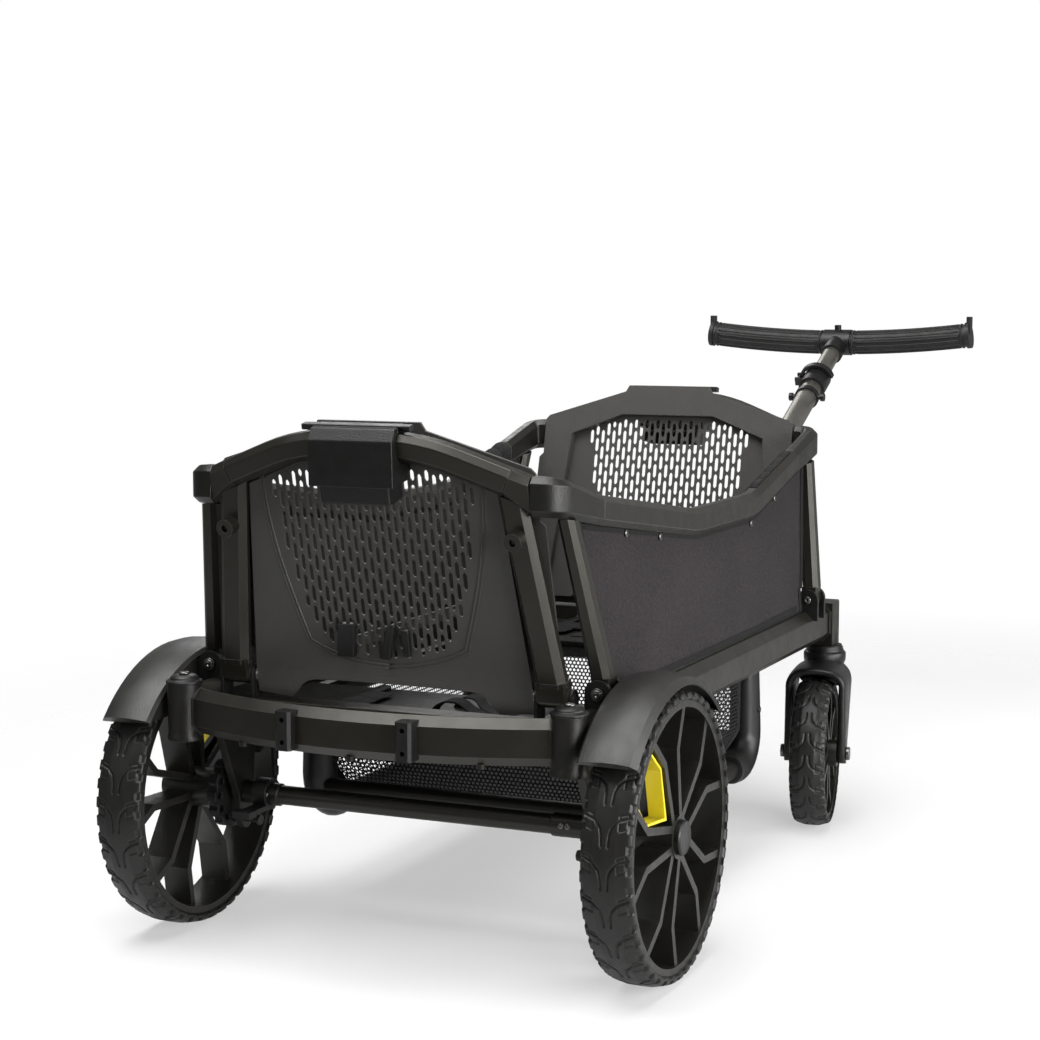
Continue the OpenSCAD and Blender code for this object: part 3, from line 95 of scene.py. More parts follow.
def wall(end):
    def point(u, v, w):
        y = WALL_Y - v * sin(WALL_LEAN) - w * cos(WALL_LEAN)
        z = WALL_Z + v * cos(WALL_LEAN) - w * sin(WALL_LEAN)
        return at(u, from_end(end, y), z)
    return point


# Camera of the photograph
CAMERA_PLACE = (1075.8, -2135.8, 732.1)
CAMERA_PITCH = 5.98
CAMERA_YAW = 23.9
cam_data = bpy.data.cameras.new("camera")
cam_data.lens = 75.6
cam_data.sensor_width = 36
cam_data.clip_end = 60
cam = bpy.data.objects.new("camera", cam_data)
scene.collection.objects.link(cam)
cam.location = at(*CAMERA_PLACE)
cam.rotation_euler = (math.radians(90 - CAMERA_PITCH), 0, math.radians(CAMERA_YAW))
scene.camera = cam


# Node building blocks, for materials and the world
class Nodes:
    def __init__(self, tree):
        self.tree = tree

    def node(self, kind, **values):
        n = self.tree.nodes.new(kind)
        for k, v in values.items():
            setattr(n, k, v)
        return n

    def link(self, a, b):
        self.tree.links.new(a, b)

    def math(self, op, a, b):
        n = self.node("ShaderNodeMath", operation=op)
        for i, v in enumerate((a, b)):
            if isinstance(v, (int, float)):
                n.inputs[i].default_value = v
            else:
                self.link(v, n.inputs[i])
        return n.outputs[0]

    def ramp(self, value, lo, hi, a=0.0, b=1.0):
        n = self.node("ShaderNodeMapRange")
        n.inputs["From Min"].default_value = lo
        n.inputs["From Max"].default_value = hi
        n.inputs["To Min"].default_value = a
        n.inputs["To Max"].default_value = b
        self.link(value, n.inputs["Value"])
        return n.outputs[0]


# A principled material that gathers its colour and bump in layers
class Shader(Nodes):
    def __init__(self, name, base, rough, metallic=0.0, specular=0.5):
        self.mat = bpy.data.materials.new(name)
        self.mat.use_nodes = True
        super().__init__(self.mat.node_tree)
        self.bsdf = self.tree.nodes["Principled BSDF"]
        self.base = base
        self.rough = rough
        self.bsdf.inputs["Metallic"].default_value = metallic
        self.bsdf.inputs["Specular IOR Level"].default_value = specular
        self.coord = self.node("ShaderNodeTexCoord").outputs["Object"]
        self.height = None
        self.colour = None

    def stretched(self, sx, sy, sz):
        n = self.node("ShaderNodeMapping")
        n.inputs["Scale"].default_value = (sx, sy, sz)
        self.link(self.coord, n.inputs["Vector"])
        return n.outputs[0]

    def noise(self, scale, detail=2.0, rough=0.5, coord=None):
        n = self.node("ShaderNodeTexNoise")
        n.inputs["Scale"].default_value = scale
        n.inputs["Detail"].default_value = detail
        n.inputs["Roughness"].default_value = rough
        self.link(coord or self.coord, n.inputs["Vector"])
        return n.outputs["Fac"]

    def waves(self, scale, direction, distortion):
        n = self.node("ShaderNodeTexWave", bands_direction=direction)
        n.inputs["Scale"].default_value = scale
        n.inputs["Distortion"].default_value = distortion
        self.link(self.coord, n.inputs["Vector"])
        return n.outputs["Fac"]

    def cells(self, scale):
        n = self.node("ShaderNodeTexVoronoi", feature="SMOOTH_F1")
        n.inputs["Scale"].default_value = scale
        self.link(self.coord, n.inputs["Vector"])
        return n.outputs["Distance"]

    # Mixes another colour over what is there, by a mask
    def tint(self, mask, colour):
        n = self.node("ShaderNodeMix", data_type="RGBA")
        self.link(mask, n.inputs["Factor"])
        if self.colour is None:
            n.inputs["A"].default_value = (*self.base, 1)
        else:
            self.link(self.colour, n.inputs["A"])
        n.inputs["B"].default_value = (*colour, 1)
        self.colour = n.outputs["Result"]

    # Mixes a lighter or darker shade of the base colour over what is there
    def shade(self, mask, factor):
        self.tint(mask, tuple(c * factor for c in self.base))

    def bump(self, height, depth):
        n = self.node("ShaderNodeBump")
        n.inputs["Strength"].default_value = 1.0
        n.inputs["Distance"].default_value = depth
        self.link(height, n.inputs["Height"])
        if self.height is not None:
            self.link(self.height, n.inputs["Normal"])
        self.height = n.outputs["Normal"]

    # Rubbed edges with a painted highlight: a lighter colour where the rounded normal leaves the flat one
    def edges(self, radius, colour, strength):
        b = self.node("ShaderNodeBevel", samples=4)
        b.inputs["Radius"].default_value = radius
        g = self.node("ShaderNodeNewGeometry")
        d = self.node("ShaderNodeVectorMath", operation="DOT_PRODUCT")
        self.link(b.outputs[0], d.inputs[0])
        self.link(g.outputs["Normal"], d.inputs[1])
        rub_and_highlight = self.ramp(d.outputs["Value"], 0.995, 0.9, 0.0, strength)
        patchy = self.ramp(self.noise(90, 4), 0.3, 0.7, 0.4, 1.0)
        self.tint(self.math("MULTIPLY", rub_and_highlight, patchy), colour)

    def finish(self, rough_noise=None, spread=0.0):
        self.link(self.colour, self.bsdf.inputs["Base Color"])
        if rough_noise is None:
            self.bsdf.inputs["Roughness"].default_value = self.rough
        else:
            self.link(self.ramp(rough_noise, 0.3, 0.7, self.rough - spread, self.rough + spread),
                      self.bsdf.inputs["Roughness"])
        if self.height is not None:
            self.link(self.height, self.bsdf.inputs["Normal"])
        return self.mat


def painted(name, base, rough, edge):
    s = Shader(name, base, rough)
    s.shade(s.ramp(s.noise(7, 3), 0.35, 0.75, 0.0, 0.35), 1.3)
    s.edges(0.0012, edge, 0.6)
    s.bump(s.noise(1400, 3), 0.00012)
    s.bsdf.inputs["Specular Tint"].default_value = (1.0, 0.97, 0.88, 1)
    s.bsdf.inputs["Coat Weight"].default_value = 0.1
    s.bsdf.inputs["Coat Roughness"].default_value = 0.25
    return s.finish(s.noise(35, 4), 0.06)


def moulded(name, base, rough, edge, grain=700, depth=0.00016):
    s = Shader(name, base, rough)
    s.shade(s.ramp(s.noise(11, 4), 0.4, 0.8, 0.0, 0.4), 1.35)
    s.edges(0.001, edge, 0.5)
    s.bump(s.cells(grain), depth)
    s.bump(s.noise(2600, 2), depth * 0.5)
    return s.finish(s.noise(60, 5), 0.07)


def rubber(name, base, rough):
    s = Shader(name, base, rough, specular=0.45)
    s.shade(s.ramp(s.noise(24, 5), 0.45, 0.75, 0.0, 0.5), 1.6)
    s.bump(s.noise(900, 4), 0.0002)
    return s.finish(s.noise(80, 4), 0.08)


def metal(name, base, rough, brush):
    s = Shader(name, base, rough, metallic=1.0)
    s.shade(s.ramp(s.noise(18, 4), 0.4, 0.8, 0.0, 0.4), 1.5)
    s.bump(s.noise(160, 3, coord=s.stretched(*brush)), 0.00008)
    return s.finish(s.noise(60, 4, coord=s.stretched(*brush)), 0.08)


# A bright outer band over a darker inner part, divided by the distance from the middle of the object; the
# darker inner part is painted shade deep in the wheel
def band_over_painted_shade(name, base, deep_painted_shade, line):
    s = Shader(name, base, 0.30)
    split = s.node("ShaderNodeSeparateXYZ")
    s.link(s.coord, split.inputs[0])
    s.shade(s.ramp(s.noise(30, 3), 0.4, 0.8, 0.0, 0.3), 0.92)
    # Towards the middle of the object the colour goes nearly black: painted shade
    s.tint(s.ramp(s.math("ABSOLUTE", split.outputs["X"], 0), line, line - 0.0004), deep_painted_shade)
    s.bump(s.cells(500), 0.00006)
    return s.finish(s.noise(60, 5), 0.05)


# Cloth: a crossed weave with mottled yarn
def woven(name, base, light, pitch):
    s = Shader(name, base, 0.9, specular=0.12)
    k = 2 * math.pi / 20 / pitch
    warp = s.math("MULTIPLY", s.waves(k, "Y", 0.6), s.noise(900, 1))
    weft = s.math("MULTIPLY", s.waves(k, "Z", 0.6), s.noise(700, 1))
    weave = s.math("MAXIMUM", warp, weft)
    s.tint(s.ramp(s.noise(330, 4, 0.7), 0.42, 0.66, 0.0, 0.7), light)
    s.tint(s.ramp(s.noise(9, 3), 0.45, 0.8, 0.0, 0.25), light)
    # The low parts of the weave are darkened: painted shade between the yarns
    s.shade(s.ramp(weave, 0.1, 0.5, 0.35, 0.0), 0.45)
    s.bump(weave, 0.0004)
    s.bsdf.inputs["Sheen Weight"].default_value = 0.05
    s.bsdf.inputs["Sheen Roughness"].default_value = 0.6
    return s.finish()


# The yellow band is the outer part of the spoke liners
BAND_WIDTH = 0.0185
band_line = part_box("spoke_liner_right")[1][0] - BAND_WIDTH
# In painted and moulded finishes the last colour goes on the edges: partly wear, partly painted highlight
finishes = {
    "frame_paint": (painted, (0.0120, 0.0113, 0.0086), 0.34, (0.115, 0.110, 0.095)),
    "casting": (moulded, (0.0090, 0.0085, 0.0068), 0.37, (0.09, 0.087, 0.077)),
    "black_plastic": (moulded, (0.0070, 0.0069, 0.0066), 0.38, (0.05, 0.05, 0.048)),
    "panel_plastic": (moulded, (0.066, 0.0637, 0.0595), 0.40, (0.11, 0.108, 0.104), 900, 0.0002),
    "dark_tube": (painted, (0.0065, 0.0064, 0.0060), 0.36, (0.05, 0.05, 0.048)),
    "handle_metal": (metal, (0.30, 0.29, 0.262), 0.42, (1, 0.05, 1)),
    "mesh_cloth": (woven, (0.010, 0.010, 0.010), (0.03, 0.03, 0.03), 0.0012),
    "side_cloth": (woven, (0.0200, 0.0172, 0.0184), (0.055, 0.0472, 0.0505), 0.0011),
    "webbing": (woven, (0.008, 0.008, 0.008), (0.024, 0.024, 0.023), 0.0016),
    "steel": (metal, (0.20, 0.20, 0.195), 0.34, (1, 1, 0.1)),
    "tyre": (rubber, (0.0125, 0.0119, 0.0111), 0.40),
    "rim_plastic": (moulded, (0.0135, 0.0129, 0.0106), 0.36, (0.10, 0.097, 0.086)),
    "accent": (band_over_painted_shade, (1.0, 0.80, 0.03), (0.010, 0.0098, 0.0090), band_line),
    # The decks' finish is partly their own dark moulding, partly painted shade inside the tub
    "deck": (moulded, (0.0075, 0.0072, 0.0067), 0.42, (0.06, 0.058, 0.054)),
    "fender": (moulded, (0.0200, 0.0194, 0.0180), 0.36, (0.10, 0.098, 0.092), 900, 0.0002),
    "grip": (rubber, (0.017, 0.017, 0.0163), 0.50),
}
mats = {name: make(name, *look) for name, (make, *look) in finishes.items()}


# Mesh helpers
def rounded(ob, width, angle=30):
    b = ob.modifiers.new("rim", "BEVEL")
    b.limit_method = "ANGLE"
    b.angle_limit = math.radians(angle)
    b.width = width
    b.segments = 2
    b.harden_normals = True


def piece(name, verts, faces, mat, body, smooth_faces=True, merge_at=None):
    me = bpy.data.meshes.new(name)
    me.from_pydata([tuple(v) for v in verts], [], [tuple(f) for f in faces])
    bm = bmesh.new()
    bm.from_mesh(me)
    if merge_at:
        bmesh.ops.remove_doubles(bm, verts=bm.verts, dist=merge_at)
    bmesh.ops.recalc_face_normals(bm, faces=bm.faces)
    bm.to_mesh(me)
    bm.free()
    if smooth_faces:
        me.polygons.foreach_set("use_smooth", [True] * len(me.polygons))
    me.materials.append(mats[mat])
    ob = bpy.data.objects.new(name, me)
    scene.collection.objects.link(ob)
    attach(ob, body)
    return ob


# Several closed or open forms gathered into one piece
class Build:
    def __init__(self):
        self.v = []
        self.f = []

    def add(self, verts, faces):
        k = len(self.v)
        self.v += [Vector(p) for p in verts]
        self.f += [[i + k for i in f] for f in faces]

    # Rings of points, joined one to the next
    def loft(self, rings, closed=True, caps=True):
        n = len(rings[0])
        verts = [p for r in rings for p in r]
        faces = []
        for i in range(len(rings) - 1):
            for j in range(n if closed else n - 1):
                k = (j + 1) % n
                faces.append([i * n + j, i * n + k, (i + 1) * n + k, (i + 1) * n + j])
        if caps:
            faces.append(list(range(n))[::-1])
            faces.append([(len(rings) - 1) * n + j for j in range(n)])
        self.add(verts, faces)

    # Rows of points, joined to an open sheet
    def sheet(self, rows):
        self.loft(rows, closed=False, caps=False)

    # A turned form: (radius, height) along an axis from a point
    def turned(self, origin, axis, profile, sides=24):
        axis = Vector(axis).normalized()
        a = axis.orthogonal().normalized()
        b = axis.cross(a)
        rings = []
        for r, h in profile:
            centre = origin + axis * (h / 1000)
            rings.append([centre + (a * math.cos(t) + b * math.sin(t)) * (r / 1000) for t in around(sides)])
        self.loft(rings)

    # A domed screw head with a six-sided socket
    def screw(self, origin, axis, r, h):
        axis = Vector(axis).normalized()
        head = [(r, -0.5), (r, h * 0.45), (r * 0.86, h * 0.85), (r * 0.62, h), (r * 0.5, h)]
        socket = [(r * 0.52, 0.05), (r * 0.46, 0.06), (r * 0.44, -h * 0.5)]
        self.turned(origin, axis, head)
        self.turned(origin + axis * (h / 1000), axis, socket, 6)

    # A tube through points
    def tube(self, path, r, sides=8, caps=True):
        rings = []
        up = None
        for i, p in enumerate(path):
            t = (path[min(i + 1, len(path) - 1)] - path[max(i - 1, 0)]).normalized()
            up = t.orthogonal().normalized() if up is None else (up - t * up.dot(t)).normalized()
            side = t.cross(up)
            rings.append([p + (up * math.cos(a) + side * math.sin(a)) * (r / 1000) for a in around(sides)])
        self.loft(rings, caps=caps)

    # A flat outline given thickness
    def plate(self, outline, thickness):
        n = len(outline)
        self.add(list(outline) + [p + thickness for p in outline],
                 [list(range(n))[::-1], list(range(n, 2 * n))]
                 + [[i, (i + 1) % n, n + (i + 1) % n, n + i] for i in range(n)])

    def done(self, name, mat, body, **kw):
        return piece(name, self.v, self.f, mat, body, **kw)


# CAD nodes: tidy facets, rounded edges and their materials
def facet_cleaner():
    group = bpy.data.node_groups.new("clean_facets", "GeometryNodeTree")
    for way in ("INPUT", "OUTPUT"):
        group.interface.new_socket("Geometry", in_out=way, socket_type="NodeSocketGeometry")
    merge = group.nodes.new("GeometryNodeMergeByDistance")
    merge.inputs["Distance"].default_value = 0.00002
    drop = group.nodes.new("GeometryNodeRemoveAttribute")
    drop.inputs["Name"].default_value = "custom_normal"
    smooth = group.nodes.new("GeometryNodeSetShadeSmooth")
    chain = [group.nodes.new("NodeGroupInput"), merge, drop, smooth, group.nodes.new("NodeGroupOutput")]
    for a, b in zip(chain, chain[1:]):
        group.links.new(a.outputs[0], b.inputs[0])
    return group


slot_of = {p["node"]: p["material_slot"] for p in frame["record"]["subparts"]}
# The floor decks get a darker finish of their own: partly their dark moulding, partly painted shade inside
# the tub
own_finish = {"floor_decks": "deck", "fenders": "fender"}
for side, _ in SIDES:
    own_finish["brake_pin_" + side] = "dark_tube"
EDGE_WIDTH = 0.001
edge_width = {"fenders": 0.0009, "base_rails": 0.0014, "rear_bumper": 0.0014, "bumper_brackets": 0.0012,
              "pivot_bolts": 0.0006}
for end, _ in ENDS:
    edge_width[end + "_panel"] = 0.0006
    edge_width[end + "_latch_case"] = 0.0028
    edge_width[end + "_latch_paddle"] = 0.0025
clean_facets = facet_cleaner()
for name, obj in nodes.items():
    obj.data.materials.clear()
    obj.data.materials.append(mats[own_finish.get(name, slot_of[name])])
    tidy = obj.modifiers.new("tidy", "NODES")
    tidy.node_group = clean_facets
    flat = obj.modifiers.new("flat", "DECIMATE")
    flat.decimate_type = "DISSOLVE"
    flat.angle_limit = math.radians(0.6)
    rounded(obj, edge_width.get(name, EDGE_WIDTH), 28)

# Tyres: a carcass with hooked grooves, outlined blocks and shoulder lugs.
# A groove's points are shares of half the width, from the middle, and of one pitch round the tyre.
HOOK = [(0.13, 0.02), (0.15, 0.28), (0.22, 0.46), (0.46, 0.64), (0.86, 0.74)]
BLOCK = [(0.50, 0.40), (0.80, 0.47), (0.80, 0.83), (0.50, 0.76), (0.50, 0.40)]
HOOK_DEPTH, HOOK_REACH, HOOK_SLOPE = 2.0, 1.5, 0.9
BLOCK_DEPTH, BLOCK_REACH, BLOCK_SLOPE = 1.3, 1.1, 0.8
LUG_DEPTH, LUG_FLANK_DEPTH = 3.2, 2.4
REAR_WHEEL_X = 289.5
REAR_R = 158
REAR_TREAD = {"w": 57, "t": 12.8, "pitches": 23, "per_pitch": 42, "way": -1}
FRONT_TREAD = {"w": 48, "t": 10.8, "pitches": 21, "per_pitch": 30, "way": 1}


# Distance in the plane from points to a chain of straight runs
def run_distance(x, y, chain):
    best = np.full(x.shape, 1e9)
    for (ax, ay), (bx, by) in zip(chain, chain[1:]):
        dx, dy = bx - ax, by - ay
        t = np.clip(((x - ax) * dx + (y - ay) * dy) / (dx * dx + dy * dy), 0, 1)
        best = np.minimum(best, np.hypot(x - ax - t * dx, y - ay - t * dy))
    return best


# Stations across a tyre, and its radii there over one pitch
def tread_pitch(r, w, t, length, per_pitch, way):
    half = w / 2
    xs = np.concatenate([[-half + 3, -half + 0.8, -half, -half + 0.4],
                         np.linspace(-half + 1, half - 1, int(w / 0.95)),
                         [half - 0.4, half, half - 0.8, half - 3]])
    share = np.arange(per_pitch) / per_pitch
    along = np.arange(per_pitch)[::way] / per_pitch * length
    lug = np.where((share * 2 + 0.2) % 1.0 < 0.42, 1.0, 0.0)
    flank = [r - t, r - t + 2.5, r - 9 - LUG_FLANK_DEPTH * lug, r - 6.6 - LUG_FLANK_DEPTH * lug]

    def groove(across, chain, depth, reach, slope):
        runs = [[(a * half, (b + shift) * length) for a, b in chain] for shift in (-1, 0, 1)]
        distance = np.min([run_distance(across, along, run) for run in runs], axis=0)
        return depth * np.clip((reach - distance) / slope, 0, 1)

    radii = np.zeros((len(xs), per_pitch))
    for i, x in enumerate(xs):
        from_edge = min(i, len(xs) - 1 - i)
        if from_edge < len(flank):
            radii[i] = flank[from_edge]
            continue
        a = abs(x)
        across = np.full(per_pitch, a)
        depth = np.maximum(groove(across, HOOK, HOOK_DEPTH, HOOK_REACH, HOOK_SLOPE),
                           groove(across, BLOCK, BLOCK_DEPTH, BLOCK_REACH, BLOCK_SLOPE))
        if a > half * 0.82:
            depth = np.maximum(depth, LUG_DEPTH * lug)
        crown = np.interp(a, [0, w / 5, half - 9, half - 4, half - 1], [r, r - 0.2, r - 2, r - 3.2, r - 5])
        radii[i] = crown - depth
    return xs, radii


def tread(end, side, centre, turn, r, w, t, pitches, per_pitch, way):
    xs, radii = tread_pitch(r, w, t, 2 * math.pi * r / pitches, per_pitch, way)
    radii = np.tile(radii, (1, pitches))
    m, n = radii.shape
    ang = 2 * np.pi * np.arange(n) / n
    xs = xs[:, None] * np.ones(n)[None, :]
    ys = radii * np.cos(ang)[None, :]
    zs = radii * np.sin(ang)[None, :]
    ct, st = math.cos(turn), math.sin(turn)
    px = centre.x + (xs * ct - ys * st) / 1000
    py = centre.y + (xs * st + ys * ct) / 1000
    pz = centre.z + zs / 1000
    verts = np.stack([px, py, pz], -1).reshape(-1, 3)
    i, j = np.meshgrid(np.arange(m - 1), np.arange(n), indexing="ij")
    k = (j + 1) % n
    quads = np.stack([i * n + j, i * n + k, (i + 1) * n + k, (i + 1) * n + j], -1).reshape(-1, 4)
    first = np.arange(n)
    second = (first + 1) % n
    inner = np.stack([(m - 1) * n + first, (m - 1) * n + second, second, first], -1)
    faces = np.concatenate([quads, inner])
    name, node, body = ("%s_%s_%s" % (end, word, side) for word in ("tread", "tyre", "wheel"))
    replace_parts(piece(name, verts.tolist(), faces.tolist(), "tyre", body), node)


for side, k in SIDES:
    tread("rear", side, at(k * REAR_WHEEL_X, 0, REAR_R), 0, REAR_R, **REAR_TREAD)
    lo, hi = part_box("front_tyre_" + side)
    front_r = (hi[2] - lo[2]) * 500
    tread("front", side, (Vector(lo) + Vector(hi)) / 2, CASTER_TURN, front_r, **FRONT_TREAD)

# Side cloth between the posts, below the rails.
# Along the cloth s runs from 0 to 1, and up it t runs from 0 to 1.
RAIL_Y = [-99.3, 6.8, 305, 325, 527, 547, 715.2, 821.3]
RAIL_LOW = [502.5, 484.5, 443.3, 441.5, 441.5, 443.8, 484.5, 502.5]
RAIL_TUCK = 2.5
CLOTH_FOOT = 297
CLOTH_OUT, CLOTH_OUT_Z, CLOTH_LEAN = 229.1, 298, 0.0817
CLOTH_BULGE, CLOTH_RIPPLE = 2.2, 0.5
LUG_TOP, LUG_EDGE = 328.5, -2.6
POST_FOOT_Z, POST_EDGE, POST_SLOPE = 331, -11.8, 0.259
FIRST_Y, FIRST_RUN = -54.3, 830.6
CLOTH_ROWS = [0, 0.05, 0.1, 0.158, 0.172] + [0.172 + 0.828 * i / 26 for i in range(1, 27)]
HEM_RUN = [0.03 + 0.94 * i / 60 for i in range(61)]
TAPES = (([i / 200 for i in range(6)], CLOTH_ROWS, 1.0),
         ([1 - i / 200 for i in range(4)], CLOTH_ROWS, 1.0),
         (HEM_RUN, [0.955, 0.97, 0.985, 1.0], 0.9),
         (HEM_RUN, [0.0, 0.02, 0.04, 0.055], 0.9))
STUD_Y = (90, 195)
STUD_BELOW_RAIL, STUD_LIFT = 5, 1.2
# A screw head's radius and height
STUD_HEAD = (4.2, 2.2)


def rail_low(y):
    return float(np.interp(y, RAIL_Y, RAIL_LOW))


# Distance of the leaning cloth from the middle plane
def cloth_x(z):
    return CLOTH_OUT - (z - CLOTH_OUT_Z) * CLOTH_LEAN


# Rear edge of the cloth: beside the lug, then up along the leaning post
def cloth_edge(z):
    return LUG_EDGE if z < LUG_TOP else POST_EDGE - max(0, z - POST_FOOT_Z) * POST_SLOPE


# The rail sets the height and the post sets the run, so a first guess is settled in a few passes
def cloth_point(k, s, t, off):
    y = FIRST_Y + s * FIRST_RUN
    for _ in range(4):
        z = CLOTH_FOOT + t * (rail_low(y) + RAIL_TUCK - CLOTH_FOOT)
        left = cloth_edge(z)
        y = left + s * (2 * TUB - 2 * left)
    bulge = CLOTH_BULGE * math.sin(math.pi * s) * math.sin(math.pi * t)
    wave = CLOTH_RIPPLE * math.sin(y / 23 + 2 * math.sin(z / 40))
    ripple = wave * (1 - abs(2 * t - 1)) * (0.35 + 0.65 * abs(2 * s - 1))
    return at(k * (cloth_x(z) + bulge + ripple + off), y, z)


def add_cloth(build, k, s_list, t_list, off):
    build.sheet([[cloth_point(k, s, t, off) for t in t_list] for s in s_list])


def side_wall(side, k):
    cloth = Build()
    add_cloth(cloth, k, [i / 140 for i in range(141)], CLOTH_ROWS, 0)
    cloth = cloth.done("side_cloth_" + side, "side_cloth", "frame")
    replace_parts(cloth, "side_fabric")
    tape = Build()
    for s_list, t_list, off in TAPES:
        add_cloth(tape, k, s_list, t_list, off)
    tape = tape.done("side_tape_" + side, "webbing", "frame")
    studs = Build()
    for stud in STUD_Y:
        for end, _ in ENDS:
            y = from_end(end, stud)
            z = rail_low(y) - STUD_BELOW_RAIL
            studs.screw(at(k * (cloth_x(z) + STUD_LIFT), y, z), (k, 0, 0.08), *STUD_HEAD)
    studs.done("cloth_studs_" + side, "steel", "frame")


for side, k in SIDES:
    side_wall(side, k)

# Footwell bag: a hanging shell of hexagonal mesh with taped edges
MESH_PITCH = 5.6
MESH_HOLE = 0.64
BAG_SKIN, BAG_FLOOR_SKIN = 1.5, 2
# The walls turn in towards the floor: by how much, and over what height
BAG_TURN, BAG_TURN_H = 22, 40
WALL_SAG, FLOOR_SAG = 3.0, 2.5
CORNER_TAPE = 14
# Bands of tape on the walls, as shares of the height
TAPE_BANDS = ((0.86, 1.0), (0.0, 0.05))
bag_lo, bag_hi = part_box("footwell_bag")
BAG_HALF = bag_hi[0] * 1000 - BAG_SKIN
BAG_REAR = bag_lo[1] * 1000 + MID + BAG_SKIN
BAG_FRONT = bag_hi[1] * 1000 + MID - BAG_SKIN
BAG_TOP = bag_hi[2] * 1000
BAG_LOW = bag_lo[2] * 1000 + BAG_FLOOR_SKIN


# A panel of hexagonal frames, cut off at its edges; point() takes shares of its two lengths
def hex_panel(build, point, lu, lv):
    r = MESH_PITCH / math.sqrt(3)
    for j in range(int(lv / (1.5 * r)) + 2):
        for i in range(int(lu / MESH_PITCH) + 2):
            cu = (i + 0.5 * (j % 2)) * MESH_PITCH
            cv = j * 1.5 * r
            ring = [(r * cos(60 * k + 30), r * sin(60 * k + 30)) for k in range(6)]
            both = ring + [(MESH_HOLE * u, MESH_HOLE * v) for u, v in ring]
            pts = [(min(max(cu + u, 0), lu), min(max(cv + v, 0), lv)) for u, v in both]
            if min(max(c) - min(c) for c in zip(*pts)) < MESH_PITCH * 0.3:
                continue
            build.add([point(u / lu, v / lv) for u, v in pts],
                      [[k, (k + 1) % 6, 6 + (k + 1) % 6, 6 + k] for k in range(6)])


def bag_z(h):
    return BAG_LOW + h * (BAG_TOP - BAG_LOW)


def bag_inset(h):
    return BAG_TURN * max(0.0, 1 - (bag_z(h) - BAG_LOW) / BAG_TURN_H) ** 1.15


# The walls of the bag: L and R at its sides, B at its rear and F at its front
def bag_wall(side):
    def point(a, h):
        i = bag_inset(h)
        d = i + WALL_SAG * math.sin(math.pi * a) * math.sin(math.pi * min(1, h * 1.1))
        if side in "LR":
            y0, y1 = BAG_REAR + i, BAG_FRONT - i
            return at((BAG_HALF - d) * (1 if side == "R" else -1), y0 + a * (y1 - y0), bag_z(h))
        half = BAG_HALF - i
        return at(-half + a * 2 * half, BAG_REAR + d if side == "B" else BAG_FRONT - d, bag_z(h))
    return point


def bag_floor(a, b):
    i = bag_inset(0)
    x = -(BAG_HALF - i) + a * 2 * (BAG_HALF - i)
    y = BAG_REAR + i + b * (BAG_FRONT - BAG_REAR - 2 * i)
    return at(x, y, BAG_LOW + FLOOR_SAG - FLOOR_SAG * math.sin(math.pi * a) * math.sin(math.pi * b))


def bag_shell():
    shell = Build()
    for s in "LR":
        hex_panel(shell, bag_wall(s), BAG_FRONT - BAG_REAR, BAG_TOP - BAG_LOW)
    for s in "BF":
        hex_panel(shell, bag_wall(s), 2 * BAG_HALF, BAG_TOP - BAG_LOW)
    shell.sheet([[bag_floor(i / 30, j / 30) for j in range(31)] for i in range(31)])
    return shell.done("footwell_mesh", "mesh_cloth", "frame", smooth_faces=False, merge_at=0.0002)


def bag_tape():
    tape = Build()
    for s in "LRBF":
        p = bag_wall(s)
        for h0, h1 in TAPE_BANDS:
            tape.sheet([[p(i / 40, h0 + (h1 - h0) * j / 3) for j in range(4)] for i in range(41)])
    for k in (-1, 1):
        for edge, way in ((BAG_REAR, 1), (BAG_FRONT, -1)):
            rows = []
            for i in range(25):
                d = bag_inset(i / 24)
                x, y, z = k * (BAG_HALF - d), edge + way * d, bag_z(i / 24)
                rows.append([at(x - k * CORNER_TAPE, y, z), at(x, y, z), at(x, y + way * CORNER_TAPE, z)])
            tape.sheet(rows)
    return tape.done("footwell_tape", "webbing", "frame", smooth_faces=False)


bag = bag_shell()
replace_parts(bag, "footwell_bag")
bag_tape()

# Harness pads, inflated by a cloth simulation, with their buckles
PAD_OUTLINE = [(6, 3), (40, 3), (43, 10), (40, 82), (33, 87), (13, 87), (6, 82), (3, 10)]
PAD_MIDDLE = 23
PAD_X = 93
PAD_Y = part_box("harness_pads")[0][1] * 1000 + MID
PAD_LIFT, PAD_REST = 1.2, 0.4
PAD_THICK = 0.0045
PAD_VOXEL = 0.0045
SWELL_CAP = 0.004
SEAMS = (18, -14)
SEAM_DEPTH, SEAM_SPREAD, SEAM_FROM = 0.0016, 18, 0.002
BUCKLE = [(-17, 0), (-19, -8), (-14, -22), (-8, -30), (8, -30), (14, -22), (19, -8), (17, 0)]
BUCKLE_GAP, BUCKLE_LIFT, BUCKLE_THICK = 36, 0.5, 0.008


def evaluated(ob):
    return bpy.data.meshes.new_from_object(ob.evaluated_get(bpy.context.evaluated_depsgraph_get()))


def remesh(ob):
    rm = ob.modifiers.new("remesh", "REMESH")
    rm.mode = "VOXEL"
    rm.voxel_size = PAD_VOXEL
    me = evaluated(ob)
    ob.modifiers.clear()
    old = ob.data
    ob.data = me
    bpy.data.meshes.remove(old)


# Where a pad's points lie once pressure has swollen it
def swollen(ob):
    c = ob.modifiers.new("cloth", "CLOTH")
    c.settings.use_pressure = True
    c.settings.uniform_pressure_force = 4
    c.settings.effector_weights.gravity = 0
    c.settings.quality = 5
    for f in range(1, 21):
        scene.frame_set(f)
    soft = evaluated(ob)
    points = [v.co.copy() for v in soft.vertices]
    ob.modifiers.clear()
    bpy.data.meshes.remove(soft)
    scene.frame_set(1)
    return points


